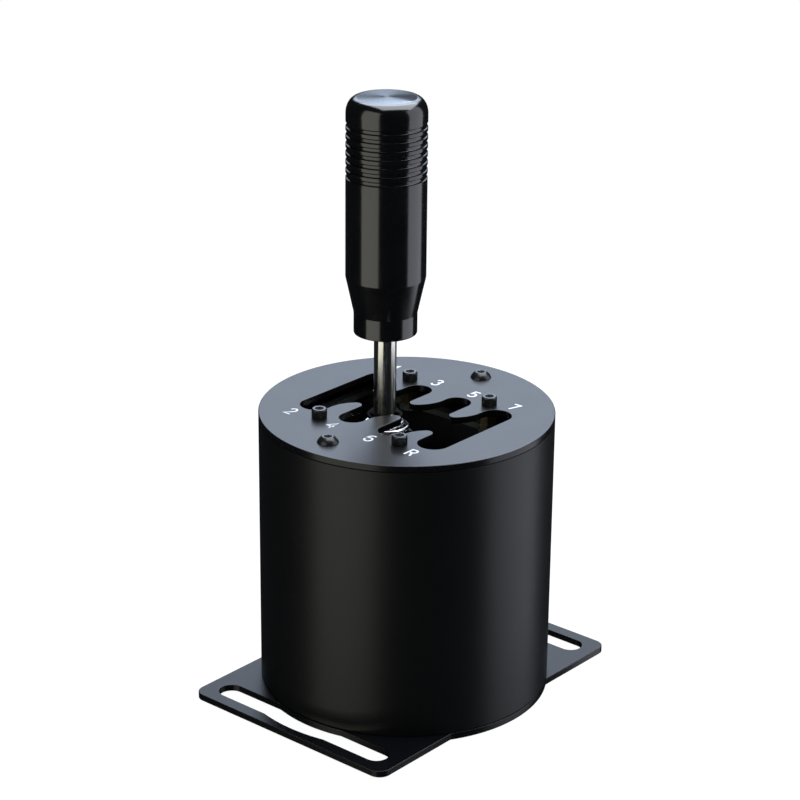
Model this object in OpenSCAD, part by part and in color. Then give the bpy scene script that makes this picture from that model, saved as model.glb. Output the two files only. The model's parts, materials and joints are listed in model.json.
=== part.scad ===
// Desk-clamp H-pattern gear shifter: round housing, slotted gate plate, sprung lever on a two-axis gimbal.
// Origin: middle of the base plate's underside. +Z up, +Y away from the driver, +X to the driver's right.

/* [Housing] */
// Outer diameter of the housing tube, the gate plate and the round part of the base plate
body_d = 130; // [126:0.5:150]
// Wall of the housing tube
wall_t = 4; // [2:0.5:5]
// Height of the housing tube between the two plates
tube_h = 124; // [122:1:150]
// Chamfer on the tube's and the gate plate's outer edges
edge_chamfer = 0.6; // [0.2:0.1:1]

/* [Base plate] */
// Thickness of the base plate
base_t = 3; // [3:0.5:6]
// Width of the two wings of the base plate
wing_w = 111; // [105:1:125]
// Length of the base plate over both wings
wing_len = 160; // [158:1:190]
// Corner radius of the wings
wing_corner_r = 5.5; // [2:0.5:12]
// Length of each strap slot over its round ends
strap_slot_len = 97; // [60:1:99]
// Width of each strap slot
strap_slot_w = 11; // [6:0.5:11]
// Distance of each strap slot's centre line from the middle
strap_slot_y = 68.5; // [68.5:0.5:74]
// Gap between the housing tube and the bowed middle of a strap slot
strap_tube_gap = 0.5; // [0.3:0.1:2]

/* [Gate] */
// Thickness of the gate plate
gate_t = 3; // [2:0.5:4]
// Sideways place of the middle of the gate
gate_cx = 0.5; // [-1:0.25:2]
// Fore and aft place of the neutral channel's centre line, which is also the lever's
gate_cy = -1.6; // [-2:0.1:0]
// Distance between neighbouring gear columns
column_pitch = 22.5; // [21.5:0.25:23]
// Width of the two outer columns
outer_slot_w = 14; // [13.9:0.1:14.5]
// Width of the two middle columns
inner_slot_w = 12.2; // [12:0.1:12.6]
// Reach of each column from the neutral channel's centre line to its round end
slot_reach = 27.9; // [27.8:0.1:28.5]
// Half of the width of the neutral channel
channel_half = 7.1; // [6.5:0.1:7.5]
// Radius of the tip of each finger between two columns
finger_tip_r = 2.8; // [2:0.1:3]
// Radius of the swept flank of each finger
finger_sweep_r = 16; // [14:0.5:18]
// Extra room in front of the finger beside the reverse column
reverse_room = 4.2; // [0:0.1:5]

/* [Lever] */
// Diameter of the lever rod
lever_d = 10; // [9:0.1:10]
// Sideways place of the lever at rest from the middle of its column
lever_rest = -0.6; // [-0.6:0.1:0.6]
// Height of the two pivot axes, where both cross the lever
pivot_z = 48.5; // [48:0.5:50]
// Height of the underside of the grip above the gate plate
grip_gap = 33.5; // [28:0.5:60]
// Depth of the rod's socket in the grip
grip_socket = 40; // [20:1:80]
// Diameter of the grip
grip_d = 35; // [32:0.5:42]
// Diameter of the collar at the foot of the grip
grip_collar_d = 27.8; // [24:0.2:30]
// Height of the collar
grip_collar_h = 9.4; // [6:0.1:14]
// Height of the cone between the collar and the grip
grip_cone_h = 16.4; // [10:0.1:20]
// Height of the whole grip
grip_h = 105; // [100:0.5:130]
// Diameter of the flat top of the grip
grip_top_d = 25.6; // [20:0.2:28]
// Height of the rounded shoulder of the grip
grip_shoulder_h = 7; // [4:0.5:8]
// Number of grooves round the grip
grip_grooves = 7; // [4:1:9]
// Distance between grooves
groove_pitch = 3.7; // [3:0.1:4.5]
// Distance of the top groove below the top of the grip
groove_drop = 11.6; // [9:0.1:14]
// Radius of each groove's round bottom
groove_r = 1; // [0.5:0.1:1.2]

/* [Frame] */
// Width of the box frame that carries the gimbal
frame_w = 100; // [98:0.5:101]
// Clear depth of the box frame between its front and rear plates
frame_in_y = 60; // [59:0.5:61]
// Thickness of the front and rear plates
cross_t = 5; // [4:0.5:5]
// Thickness of the two side plates
side_t = 4; // [3:0.5:5]
// Thickness of the top frame
top_frame_t = 2.5; // [2:0.25:3]
// Length of the spacers between the top frame and the gate plate
spacer_h = 8; // [8:0.5:12]
// Width across the flats of the spacers
spacer_af = 7; // [6:0.1:7.5]
// Distance of the four gate screws from their common middle, sideways and fore and aft
gate_screw_dx = 22.9; // [21:0.1:24]
// Distance of the four gate screws from their common middle, fore and aft
gate_screw_dy = 30.3; // [30:0.1:31]
// Sideways place of the middle of the four gate screws
gate_screw_cx = 0.9; // [0:0.1:1]
// Fore and aft place of the middle of the four gate screws
gate_screw_cy = -2.4; // [-2.6:0.1:-1.6]
// Distance of the two tie rods from the middle
tie_rod_y = 51.5; // [50:0.5:52]
// Diameter of the tie rods
tie_rod_d = 10; // [8:0.5:12]

/* [Gimbal] */
// Diameter of the two select shafts and of the pivot pin
shaft_d = 8; // [6:0.5:8]
// Outer diameter of the select bearings
bearing_d = 16; // [14:0.5:18]
// Half of the clear depth inside the gimbal ring
ring_in_y = 14; // [13.6:0.2:15]
// Thickness of the gimbal ring's front and rear walls
ring_wall_y = 6.5; // [6:0.25:7]
// Thickness of the gimbal ring's side walls
ring_wall_x = 6; // [5:0.5:6.5]
// Height of the gimbal ring
ring_h = 20; // [18:0.5:20]
// Diameter of the lever hub
hub_d = 22; // [20:0.5:22.5]
// Width of the lever hub between its two flats
hub_w = 20; // [19:0.5:22]
// Outer diameter of the plain bushes on the pivot pin
bush_d = 12; // [11:0.5:13]

/* [Detent] */
// Thickness of each detent plate
detent_t = 4; // [3:0.5:4.5]
// Radius of the detent crests about the pivot pin
detent_r = 32; // [31:0.5:34]
// Depth of the detent notches
notch_depth = 1.1; // [0.6:0.1:1.4]
// Angle between neighbouring notches, which is the lever's throw from neutral to a gear
throw_deg = 12.5; // [11:0.1:12.7]
// Diameter of the detent rollers
roller_d = 10; // [8:0.5:10.5]
// Width of the detent rollers
roller_w = 5; // [4:0.5:5.5]
// Diameter of the pin that carries the rollers
roller_pin_d = 5; // [4:0.5:5]
// Outer diameter of the detent carriage that slides on the lever
carriage_d = 18; // [16:0.5:19]
// Diameter of the spring seat at the top of the carriage
seat_d = 30; // [28:0.5:31]
// Height of the top of the spring seat above the pivot
seat_top = 51.5; // [50:0.5:54]

/* [Springs] */
// Wire of the detent spring round the lever
spring_wire = 1.6; // [1.2:0.1:1.8]
// Middle radius of the detent spring's large coils
spring_r = 12.2; // [11.5:0.1:12.2]
// Middle radius of the detent spring's small top coil
spring_top_r = 7.9; // [7.6:0.1:8.4]
// Number of coils in the detent spring
spring_turns = 6; // [5:1:7]
// Coils over which the small top coil opens out to the large ones
spring_flare = 2; // [1:0.1:3]
// Distance between touching coils' centre lines at the ends of the detent spring
closed_pitch = 2.1; // [2.1:0.1:2.4]
// Wire of the two centring springs
centring_wire = 1.4; // [1:0.1:1.5]
// Middle radius of the centring springs
centring_r = 8; // [7.8:0.1:8.5]
// Full coils in each centring spring besides the half turn between its legs
centring_turns = 3; // [2:1:3]

/* [Fasteners] */
// Head diameter of the four gate screws
cap_head_d = 7; // [6.5:0.1:7.4]
// Head height of the four gate screws
cap_head_h = 4; // [3:0.1:5]
// Thread diameter of the four gate screws and the frame screws
m4_d = 4; // [3.5:0.1:4]
// Head diameter of the two button screws
button_head_d = 9.5; // [9:0.1:12]
// Head height of the two button screws
button_head_h = 2.75; // [2.5:0.05:4]
// Width across the flats of their sockets
button_socket = 3; // [2:0.5:4]
// Diameter of the flat on top of their domes
button_flat_d = 4.9; // [4:0.1:6]
// Thread diameter of the two button screws
button_d = 5; // [4.5:0.1:6]
// Thread diameter of the base plate's screws into the tie rods
base_screw_d = 5; // [4:0.1:5]

/* [Electronics] */
// Length of the main board
board_l = 36; // [34:1:40]
// Width of the main board
board_w = 24; // [23:0.5:25.5]
// Thickness of every circuit board
board_t = 1.6; // [1:0.1:2]
// Height of the main board's underside above the base plate
board_gap = 5; // [4:0.5:7]
// Width of the cable opening for the data socket in the tube
socket_hole_w = 13; // [11:0.5:15]
// Height of the cable opening for the data socket
socket_hole_h = 8; // [7:0.5:9]
// Diameter of the two sensor magnets
magnet_d = 6; // [4:0.5:6]
// Thickness of the two sensor magnets
magnet_t = 2.5; // [2:0.5:3]

/* [Clearances] */
// Radial running clearance of shafts, pins and the sliding carriage
run_gap = 0.05; // [0.02:0.01:0.1]
// Radial clearance of screws in plain holes
screw_gap = 0.25; // [0.15:0.05:0.4]
// Radial clearance of screw shanks in their tapped holes
tapped_gap = 0.05; // [0.03:0.01:0.1]
// Gap between pieces that pass each other
pass_gap = 0.5; // [0.3:0.1:0.6]
// Height of the rollers above the detent crests in neutral
roller_gap = 0.3; // [0.2:0.05:0.5]

/* [Hidden] */
$fn = 64;

black_metal = [0.07, 0.07, 0.08];
plate_metal = [0.3, 0.32, 0.36];
steel = [0.75, 0.75, 0.76];
brass_tone = [0.8, 0.62, 0.3];
board_green = [0.05, 0.25, 0.15];
cut = 1;
far = 400;

tube_z = base_t;
gate_z = base_t + tube_h;
gate_top = gate_z + gate_t;
body_r = body_d / 2;
tube_in_r = body_r - wall_t;

lever_x = gate_cx - column_pitch / 2 + lever_rest;
columns = [for (i = [0:3]) gate_cx + (i - 1.5) * column_pitch];
column_w = [outer_slot_w, inner_slot_w, inner_slot_w, outer_slot_w];
gate_mid = gate_z + gate_t / 2;
select_low = atan((columns[0] - lever_x) / (gate_mid - pivot_z));
select_high = atan((columns[3] - lever_x) / (gate_mid - pivot_z));
echo(select_range_deg = [select_low, select_high], shift_range_deg = [-throw_deg, throw_deg]);

frame_top = gate_z - spacer_h;
plate_top = frame_top - top_frame_t;
frame_half = frame_w / 2;
cross_in = frame_in_y / 2;
cross_out = cross_in + cross_t;
cross_mid = cross_in + cross_t / 2;
corner_cut = 3.2;
lug_r = 4.5;
frame_hole_d = m4_d + 2 * tapped_gap;
frame_screw_in = 14;
frame_screw_x = frame_half - frame_screw_in;
foot_screw_x = 28;
csk_depth_m4 = 2;
csk_d_m4 = 8;
m3_d = 3;
csk_d_m3 = 5.6;
csk_depth_m3 = 1.5;
socket_m3 = 2;
socket_m4 = 2.5;
screw_bite = 9;
end_tap = 15;
post_w = 6;
post_screw_bite = 5;
post_x = frame_half - side_t - post_w / 2;
post_y = cross_in - post_w / 2;
side_screw_rise = 17;
side_screw_mid = 15.5;
side_screw_drop = 12.5;
side_screw_z = [base_t + side_screw_rise, pivot_z + side_screw_mid, plate_top - side_screw_drop];
window_drop = 24;
window_z = plate_top - window_drop;
window_w = 26;
window_h = 56;
arch_w = 26.4;
arch_h = 24;
cross_screw_rise = 25;
cross_screw_mid = 23.5;
cross_screw_drop = 18.5;
cross_screw_z = [base_t + cross_screw_rise, pivot_z + cross_screw_mid, plate_top - cross_screw_drop];

ring_in_x = hub_w / 2 + pass_gap;
ring_out_x = ring_in_x + ring_wall_x;
ring_out_y = ring_in_y + ring_wall_y;
detent_out_x = ring_out_x + detent_t;
pin_half = detent_out_x + 3.4;
clip_t = 1;
clip_gap = 0.2;

roller_s = detent_r + roller_d / 2 + roller_gap;
roller_x = ring_out_x + detent_t / 2;
roller_pin_half = roller_x + roller_w / 2 + 2;
carriage_low = roller_s - 6;
notch_r = roller_d / 2 + 0.4;
detent_half = 13;
detent_screw_y = 9;

shaft_out = cross_out + 2.6;
bearing_flange_d = bearing_d + 2;
bearing_flange_t = 1;
post_d = 4;
post_low = 12.5;
post_high = post_low + post_d + 1.2;
leg_top = post_high + 3.5;

washer_d = 15.6;
washer_t = 1.2;
washer_low = 75.5;
stub = spring_wire;
seat_t = 3;

board_z = base_t + board_gap;
board_x0 = pass_gap - sqrt(pow(tube_in_r, 2) - pow(board_w / 2, 2));
board_hole_d = m3_d + 2 * screw_gap;
standoff_d = 5;
pan_head_d = 5.2;
pan_head_h = 1.6;
chip_w = 8;
socket_w = 9;
socket_h = 3.3;
socket_l = 7.4;

// Placing helpers: the gimbal's pieces are drawn about the crossing of the two pivot axes.
module at_pivot() { translate([lever_x, gate_cy, pivot_z]) children(); }
module along_x() { rotate([0, 90, 0]) children(); }
module along_y() { rotate([-90, 0, 0]) children(); }

// A rod from one coordinate to another along X or Y.
module rod_x(x0, x1, d) { translate([x0, 0, 0]) along_x() cylinder(d = d, h = x1 - x0); }
module rod_y(y0, y1, d) { translate([0, y0, 0]) along_y() cylinder(d = d, h = y1 - y0); }

module round_rect(w, l, r) {
    square([w - 2 * r, l], center = true);
    square([w, l - 2 * r], center = true);
    for (x = [-1, 1], y = [-1, 1]) translate([x * (w / 2 - r), y * (l / 2 - r)]) circle(r);
}

// A stadium along X with its length over the round ends.
module stadium(len, w) {
    square([len - w, w], center = true);
    for (x = [-1, 1]) translate([x * (len - w) / 2, 0]) circle(d = w);
}

// A disc with chamfered outer edges, standing on z = 0.
module chamfered_disc(r, h, c) {
    rotate_extrude($fn = 180)
        polygon([[0, 0], [r - c, 0], [r, c], [r, h - c], [r - c, h], [0, h]]);
}

// Countersunk screw: the head's flat top is at z = 0 and the shank goes down.
module countersunk(d, head_d, head_h, len) {
    rotate_extrude()
        polygon([[0, 0], [head_d / 2, 0], [head_d / 2, -0.3], [d / 2, -head_h], [d / 2, -len], [0, -len]]);
}
module countersunk_cut(d, head_d, head_h, len, gap) {
    rotate_extrude()
        polygon([[0, cut], [head_d / 2 + gap, cut], [head_d / 2 + gap, -0.3], [d / 2 + gap, -head_h - gap],
                 [d / 2 + gap, -len], [0, -len]]);
}
module hex_socket(af, depth) {
    translate([0, 0, -depth]) cylinder(d = af / cos(30), h = depth + cut, $fn = 6);
}

// Tube swept along a path: the points and the matching side directions come from a formula.
function unit(v) = v / norm(v);
function tangent(p, i) = unit(p[min(i + 1, len(p) - 1)] - p[max(i - 1, 0)]);
function ring_points(p, side, i, r, n) =
    let (t = tangent(p, i), a = unit(side[i] - (side[i] * t) * t), b = cross(t, a))
    [for (k = [0:n - 1]) p[i] + r * (cos(360 * k / n) * a + sin(360 * k / n) * b)];
module swept_wire(p, side, r, n = 6) {
    rings = len(p);
    points = [for (i = [0:rings - 1]) each ring_points(p, side, i, r, n)];
    skin = [for (i = [0:rings - 2], k = [0:n - 1])
        let (a = i * n + k, b = i * n + (k + 1) % n) each [[a, a + n, b], [b, a + n, b + n]]];
    last = (rings - 1) * n;
    caps = [for (k = [1:n - 2]) each [[0, k, k + 1], [last, last + k + 1, last + k]]];
    polyhedron(points, concat(skin, caps), convexity = 10);
}
// Least distance between points of a path that are at least a set number of points apart, less the wire.
function least_gap(p, apart, wire) =
    min([for (i = [0:len(p) - 1 - apart], j = [i + apart:len(p) - 1]) norm(p[i] - p[j])]) - wire;

// Base plate with its two slotted wings

module strap_slot() {
    difference() {
        union() {
            translate([0, strap_slot_y]) stadium(strap_slot_len, strap_slot_w);
            intersection() {
                circle(body_r + strap_slot_w, $fn = 180);
                translate([0, strap_slot_y + strap_slot_w / 2])
                    square([strap_slot_len / 2, strap_slot_w], center = true);
            }
        }
        circle(body_r + strap_tube_gap, $fn = 180);
    }
}
module base_plate() {
    color(plate_metal) difference() {
        linear_extrude(base_t) difference() {
            union() {
                circle(body_r, $fn = 180);
                round_rect(wing_w, wing_len, wing_corner_r);
            }
            strap_slot();
            rotate(180) strap_slot();
        }
        for (y = [-1, 1]) translate([0, y * tie_rod_y, 0]) mirror([0, 0, 1])
            countersunk_cut(base_screw_d, 2 * base_screw_d, base_t - 0.5, base_t + cut, screw_gap);
        foot_screw_places() countersunk_cut(m4_d, csk_d_m4, csk_depth_m4, base_t + cut, screw_gap);
        board_screw_places() mirror([0, 0, 1])
            countersunk_cut(m3_d, csk_d_m3, csk_depth_m3, base_t + cut, screw_gap);
    }
}
module base_screws() {
    color(black_metal) for (y = [-1, 1]) translate([0, y * tie_rod_y, 0]) mirror([0, 0, 1])
        difference() {
            countersunk(base_screw_d, 2 * base_screw_d, base_t - 0.5, base_t + end_tap - 3);
            hex_socket(base_screw_d * 0.6, base_t * 0.6);
        }
}

// Housing tube with the cable opening in its left side

module housing_tube() {
    color(black_metal) difference() {
        translate([0, 0, tube_z]) rotate_extrude($fn = 180) polygon([
            [tube_in_r, 0], [body_r - edge_chamfer, 0], [body_r, edge_chamfer],
            [body_r, tube_h - edge_chamfer], [body_r - edge_chamfer, tube_h], [tube_in_r, tube_h]]);
        translate([-body_r, 0, socket_mid_z()]) rotate([90, 0, 90])
            linear_extrude(4 * wall_t, center = true) stadium(socket_hole_w, socket_hole_h);
    }
}
function socket_mid_z() = board_z + board_t + socket_h / 2;

// Gate plate

// The gate opening's far half, left to right: each column's round end, then the finger beside it.
function arc(centre, r, from, to, steps) =
    [for (k = [0:steps]) let (a = from + (to - from) * k / steps) centre + r * [cos(a), sin(a)]];
function column_end(i) =
    let (r = column_w[i] / 2) arc([columns[i] - gate_cx, slot_reach - r], r, 180, 0, 16);
// A finger has a small round tip beside the left column and a swept flank into the right column's side.
function finger_edge(i, y_tip) =
    let (tip = [columns[i] - gate_cx + column_w[i] / 2 + finger_tip_r, y_tip + finger_tip_r],
         sweep_x = columns[i + 1] - gate_cx - column_w[i + 1] / 2 - finger_sweep_r,
         a = acos((tip[0] - sweep_x) / (finger_sweep_r - finger_tip_r)),
         sweep_y = tip[1] + (finger_sweep_r - finger_tip_r) * sin(a))
    concat(arc(tip, finger_tip_r, 180, 360 - a, 12), arc([sweep_x, sweep_y], finger_sweep_r, -a, 0, 8));
function gate_half(tip_drop) = [for (i = [0:3])
    each concat(column_end(i), i < 3 ? finger_edge(i, channel_half + tip_drop[i]) : [])];
module gate_opening() {
    translate([gate_cx, gate_cy])
        polygon(concat(gate_half([0, 0, 0]), [for (p = gate_half([reverse_room, 0, 0])) -p]));
}
module gate_screw_places() {
    for (x = [-1, 1], y = [-1, 1])
        translate([gate_screw_cx + x * gate_screw_dx, gate_screw_cy + y * gate_screw_dy, 0]) children();
}
module gate_plate() {
    color(plate_metal) difference() {
        translate([0, 0, gate_z]) chamfered_disc(body_r, gate_t, edge_chamfer);
        translate([0, 0, gate_z - cut]) linear_extrude(gate_t + 2 * cut) gate_opening();
        translate([0, 0, gate_z - cut]) gate_screw_places()
            cylinder(d = m4_d + 2 * screw_gap, h = gate_t + 2 * cut);
        for (y = [-1, 1]) translate([0, y * tie_rod_y, gate_z - cut])
            cylinder(d = button_d + 2 * screw_gap, h = gate_t + 2 * cut);
    }
}
module gate_cap_screws() {
    color(black_metal) translate([0, 0, gate_top]) gate_screw_places() difference() {
        union() {
            rotate_extrude() polygon([
                [0, 0], [cap_head_d / 2, 0], [cap_head_d / 2, cap_head_h - 0.4],
                [cap_head_d / 2 - 0.4, cap_head_h], [0, cap_head_h]]);
            translate([0, 0, plate_top - gate_top]) cylinder(d = m4_d, h = gate_top - plate_top + 0.5);
        }
        translate([0, 0, cap_head_h]) hex_socket(3, 2.2);
    }
}
module gate_button_screws() {
    head_r = button_head_d / 2;
    dome_z = (pow(button_flat_d / 2, 2) + pow(button_head_h, 2) - pow(head_r, 2)) / (2 * button_head_h);
    dome_r = norm([head_r, dome_z]);
    color(black_metal) for (y = [-1, 1]) translate([0, y * tie_rod_y, gate_top]) difference() {
        union() {
            intersection() {
                translate([0, 0, dome_z]) sphere(dome_r);
                cylinder(r = head_r + cut, h = button_head_h);
            }
            translate([0, 0, 2 - gate_t - end_tap]) cylinder(d = button_d, h = gate_t + end_tap);
        }
        translate([0, 0, button_head_h]) hex_socket(button_socket, 2);
    }
}
module tie_rods() {
    color(steel) for (y = [-1, 1]) translate([0, y * tie_rod_y, tube_z]) difference() {
        cylinder(d = tie_rod_d, h = tube_h);
        translate([0, 0, -cut]) cylinder(d = base_screw_d + 2 * tapped_gap, h = end_tap + cut);
        translate([0, 0, tube_h - end_tap]) cylinder(d = button_d + 2 * tapped_gap, h = end_tap + cut);
    }
}
module hex_spacers() {
    color(brass_tone) translate([0, 0, frame_top]) gate_screw_places() difference() {
        cylinder(d = spacer_af / cos(30), h = spacer_h, $fn = 6);
        translate([0, 0, -cut]) cylinder(d = m4_d + 2 * screw_gap, h = spacer_h + 2 * cut);
    }
}

// Box frame: top frame, front, rear and side plates

// Rectangle with its four corners cut off, so that the frame's corners stay inside the tube.
module frame_outline() {
    x = frame_half;
    y = cross_out;
    c = corner_cut;
    translate([0, gate_cy])
        polygon([[x, y - c], [x - c, y], [c - x, y], [-x, y - c],
                 [-x, c - y], [c - x, -y], [x - c, -y], [x, c - y]]);
}
module top_screw_places() {
    for (x = [-1, 1], y = [-1, 1])
        translate([x * frame_screw_x, gate_cy + y * cross_mid, frame_top]) children();
}
module top_frame() {
    color(plate_metal) difference() {
        translate([0, 0, plate_top]) linear_extrude(top_frame_t) {
            difference() {
                frame_outline();
                translate([0, gate_cy]) square([frame_w - 2 * side_t, frame_in_y], center = true);
            }
            gate_screw_places() circle(lug_r);
        }
        translate([0, 0, plate_top - cut]) gate_screw_places()
            cylinder(d = frame_hole_d, h = top_frame_t + 2 * cut);
        top_screw_places() countersunk_cut(m4_d, csk_d_m4, csk_depth_m4, top_frame_t + cut, screw_gap);
    }
}
module top_frame_screws() {
    color(black_metal) top_screw_places() difference() {
        countersunk(m4_d, csk_d_m4, csk_depth_m4, screw_bite);
        hex_socket(socket_m4, 1.2);
    }
}
// Front plate, in its own place; the rear one is its mirror image about the lever.
module cross_plate() {
    h = plate_top - base_t;
    w = frame_w - 2 * side_t;
    difference() {
        translate([-w / 2, gate_cy + cross_in, base_t]) cube([w, cross_t, h]);
        translate([lever_x, gate_cy, pivot_z]) rod_y(cross_in - cut, cross_out + cut, bearing_d);
        translate([lever_x, gate_cy, pivot_z + post_low])
            rod_y(cross_in - cut, cross_out + cut, m4_d + 2 * tapped_gap);
        for (x = [-1, 1]) translate([x * w / 4 + lever_x / 2, gate_cy, window_z])
            rod_y(cross_in - cut, cross_out + cut, w / 5);
        for (x = [-1, 1]) {
            translate([x * frame_screw_x, gate_cy + cross_mid, plate_top - screw_bite])
                cylinder(d = frame_hole_d, h = screw_bite + cut);
            translate([x * foot_screw_x, gate_cy + cross_mid, base_t - cut])
                cylinder(d = frame_hole_d, h = screw_bite + cut);
        }
        cross_screw_places() countersunk_cut(
            m3_d, csk_d_m3, csk_depth_m3, cross_t + cut, screw_gap);
    }
}
module front_plate() { color(plate_metal) cross_plate_with_sensor(); }
module cross_plate_with_sensor() {
    difference() {
        cross_plate();
        sensor_places() rod_y(cross_in - cut, cross_out + cut, m3_d + 2 * tapped_gap);
    }
}
module rear_plate() { color(plate_metal) behind_lever() cross_plate(); }
module side_plate(sign) {
    h = plate_top - base_t;
    color(plate_metal) difference() {
        translate([sign * (frame_half - side_t), gate_cy, base_t]) rotate([90, 0, sign > 0 ? 90 : -90])
            linear_extrude(side_t) translate([0, h / 2]) difference() {
                square([2 * cross_out, h], center = true);
                translate([-sign * gate_cy, -h / 2]) square([arch_w, 2 * arch_h], center = true);
                translate([0, (arch_h - corner_cut) / 2]) round_rect(window_w, window_h, 6);
            }
        for (y = [-1, 1]) translate([sign * frame_half, gate_cy + y * cross_out, base_t - cut]) rotate(45)
            translate([-corner_cut / sqrt(2), -corner_cut / sqrt(2), 0])
                cube([sqrt(2) * corner_cut, sqrt(2) * corner_cut, h + 2 * cut]);
        side_screw_places(sign) countersunk_cut(
            m3_d, csk_d_m3, csk_depth_m3, side_t + cut, screw_gap);
    }
}
module side_plate_left() { side_plate(-1); }
module side_plate_right() { side_plate(1); }
module side_screw_places(sign) {
    for (y = [-1, 1], z = side_screw_z) translate([sign * frame_half, gate_cy + y * post_y, z])
        rotate([0, sign * 90, 0]) children();
}
// The front plate's screws; the rear plate's are their mirror image about the lever.
module cross_screw_places() {
    for (x = [-1, 1], z = cross_screw_z) translate([x * post_x, gate_cy + cross_out, z])
        rotate([-90, 0, 0]) children();
}
module post_screw(plate_t) {
    difference() {
        countersunk(m3_d, csk_d_m3, csk_depth_m3, plate_t + post_screw_bite - 0.4);
        hex_socket(socket_m3, 0.9);
    }
}
module side_screws() {
    color(black_metal) for (sign = [-1, 1]) side_screw_places(sign) post_screw(side_t);
}
module cross_screws() {
    color(black_metal) {
        cross_screw_places() post_screw(cross_t);
        behind_lever() cross_screw_places() post_screw(cross_t);
    }
}
module behind_lever() {
    translate([0, gate_cy, 0]) mirror([0, 1, 0]) translate([0, -gate_cy, 0]) children();
}
module corner_posts() {
    color(plate_metal) for (x = [-1, 1]) {
        corner_post(x);
        behind_lever() corner_post(x);
    }
}
module corner_post(x) {
    tapped_d = m3_d + 2 * tapped_gap;
    difference() {
        translate([x * post_x - post_w / 2, gate_cy + post_y - post_w / 2, base_t])
            cube([post_w, post_w, plate_top - base_t]);
        for (z = side_screw_z) translate([x * (post_x + post_w / 2), gate_cy + post_y, z])
            rotate([0, x * 90, 0]) translate([0, 0, -post_screw_bite])
                cylinder(d = tapped_d, h = post_screw_bite + cut);
        for (z = cross_screw_z) translate([x * post_x, gate_cy + cross_in, z]) rotate([-90, 0, 0])
            translate([0, 0, -post_screw_bite]) cylinder(d = tapped_d, h = post_screw_bite + cut);
    }
}
module foot_screw_places() {
    for (x = [-1, 1], y = [-1, 1]) translate([x * foot_screw_x, gate_cy + y * cross_mid, 0])
        mirror([0, 0, 1]) children();
}
module frame_foot_screws() {
    color(black_metal) foot_screw_places() difference() {
        countersunk(m4_d, csk_d_m4, csk_depth_m4, base_t + screw_bite - cut);
        hex_socket(socket_m4, 1.2);
    }
}

// Select hinge: flanged bearings, posts and centring springs

// Draws the rear copy of a piece that belongs to the front, mirrored about the lever.
module rear() { mirror([0, 1, 0]) children(); }
module flanged_bearing() {
    difference() {
        union() {
            rod_y(cross_in, cross_out, bearing_d);
            rod_y(cross_in - bearing_flange_t, cross_in, bearing_flange_d);
        }
        rod_y(cross_in - bearing_flange_t - cut, cross_out + cut, shaft_d + 2 * run_gap);
        translate([0, cross_out, 0]) along_y() ring_groove((shaft_d + bearing_d) / 4 + 0.6, 0.9, 0.6);
        translate([0, cross_in - bearing_flange_t, 0]) rotate([90, 0, 0])
            ring_groove((shaft_d + bearing_d) / 4 + 0.6, 0.9, 0.6);
    }
}
// A shallow ring groove cut down from z = 0.
module ring_groove(r, half_w, depth) {
    rotate_extrude() translate([r - half_w, -depth]) square([2 * half_w, depth + cut]);
}
module select_bearing_front() { color(steel) at_pivot() flanged_bearing(); }
module select_bearing_rear() { color(steel) at_pivot() rear() flanged_bearing(); }

post_in = ring_out_y + pass_gap;
module spring_post() {
    translate([0, 0, post_low]) {
        rod_y(post_in, cross_in, post_d);
        rod_y(cross_in, cross_out + 2.5, m4_d);
        translate([0, cross_out, 0]) along_y() cylinder(d = spacer_af / cos(30), h = 2.2, $fn = 6);
    }
}
module spring_post_front() { color(steel) at_pivot() spring_post(); }
module spring_post_rear() { color(steel) at_pivot() rear() spring_post(); }

// Centring spring: a leg comes down, the coil goes round the shaft and the other leg goes up again.
centring_pitch = centring_wire + 0.45;
centring_len = (centring_turns + 0.5) * centring_pitch;
centring_y0 = (ring_out_y + cross_in - bearing_flange_t - centring_len) / 2;
leg_x = post_d / 2 + centring_wire / 2 + 0.1;
centring_steps = 8 * (centring_turns + 0.5);
centring_legs = [
    [leg_x, leg_top], [leg_x, leg_top - centring_wire], [leg_x, post_high], [leg_x, post_low - 0.5],
    [(leg_x + centring_r) / 2, post_low - 4.5], [centring_r, post_low - 8]];
centring_path = concat(
    [for (p = centring_legs) [-p[0], centring_y0, p[1]]],
    [for (i = [0:centring_steps]) let (a = 180 + 45 * i)
        [centring_r * cos(a), centring_y0 + centring_len * i / centring_steps, centring_r * sin(a)]],
    [for (i = [len(centring_legs) - 1:-1:0])
        [centring_legs[i][0], centring_y0 + centring_len, centring_legs[i][1]]]);
centring_sides = concat(
    [for (p = centring_legs) [-1, 0, 0]],
    [for (i = [0:centring_steps]) [cos(180 + 45 * i), 0, sin(180 + 45 * i)]],
    [for (p = centring_legs) [1, 0, 0]]);
module centring_spring() { swept_wire(centring_path, centring_sides, centring_wire / 2); }
module centring_spring_front() { color(steel) at_pivot() centring_spring(); }
module centring_spring_rear() { color(steel) at_pivot() rear() centring_spring(); }
echo(centring_spring_least_gap = least_gap(centring_path, 5, centring_wire));

// Electronics

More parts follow.
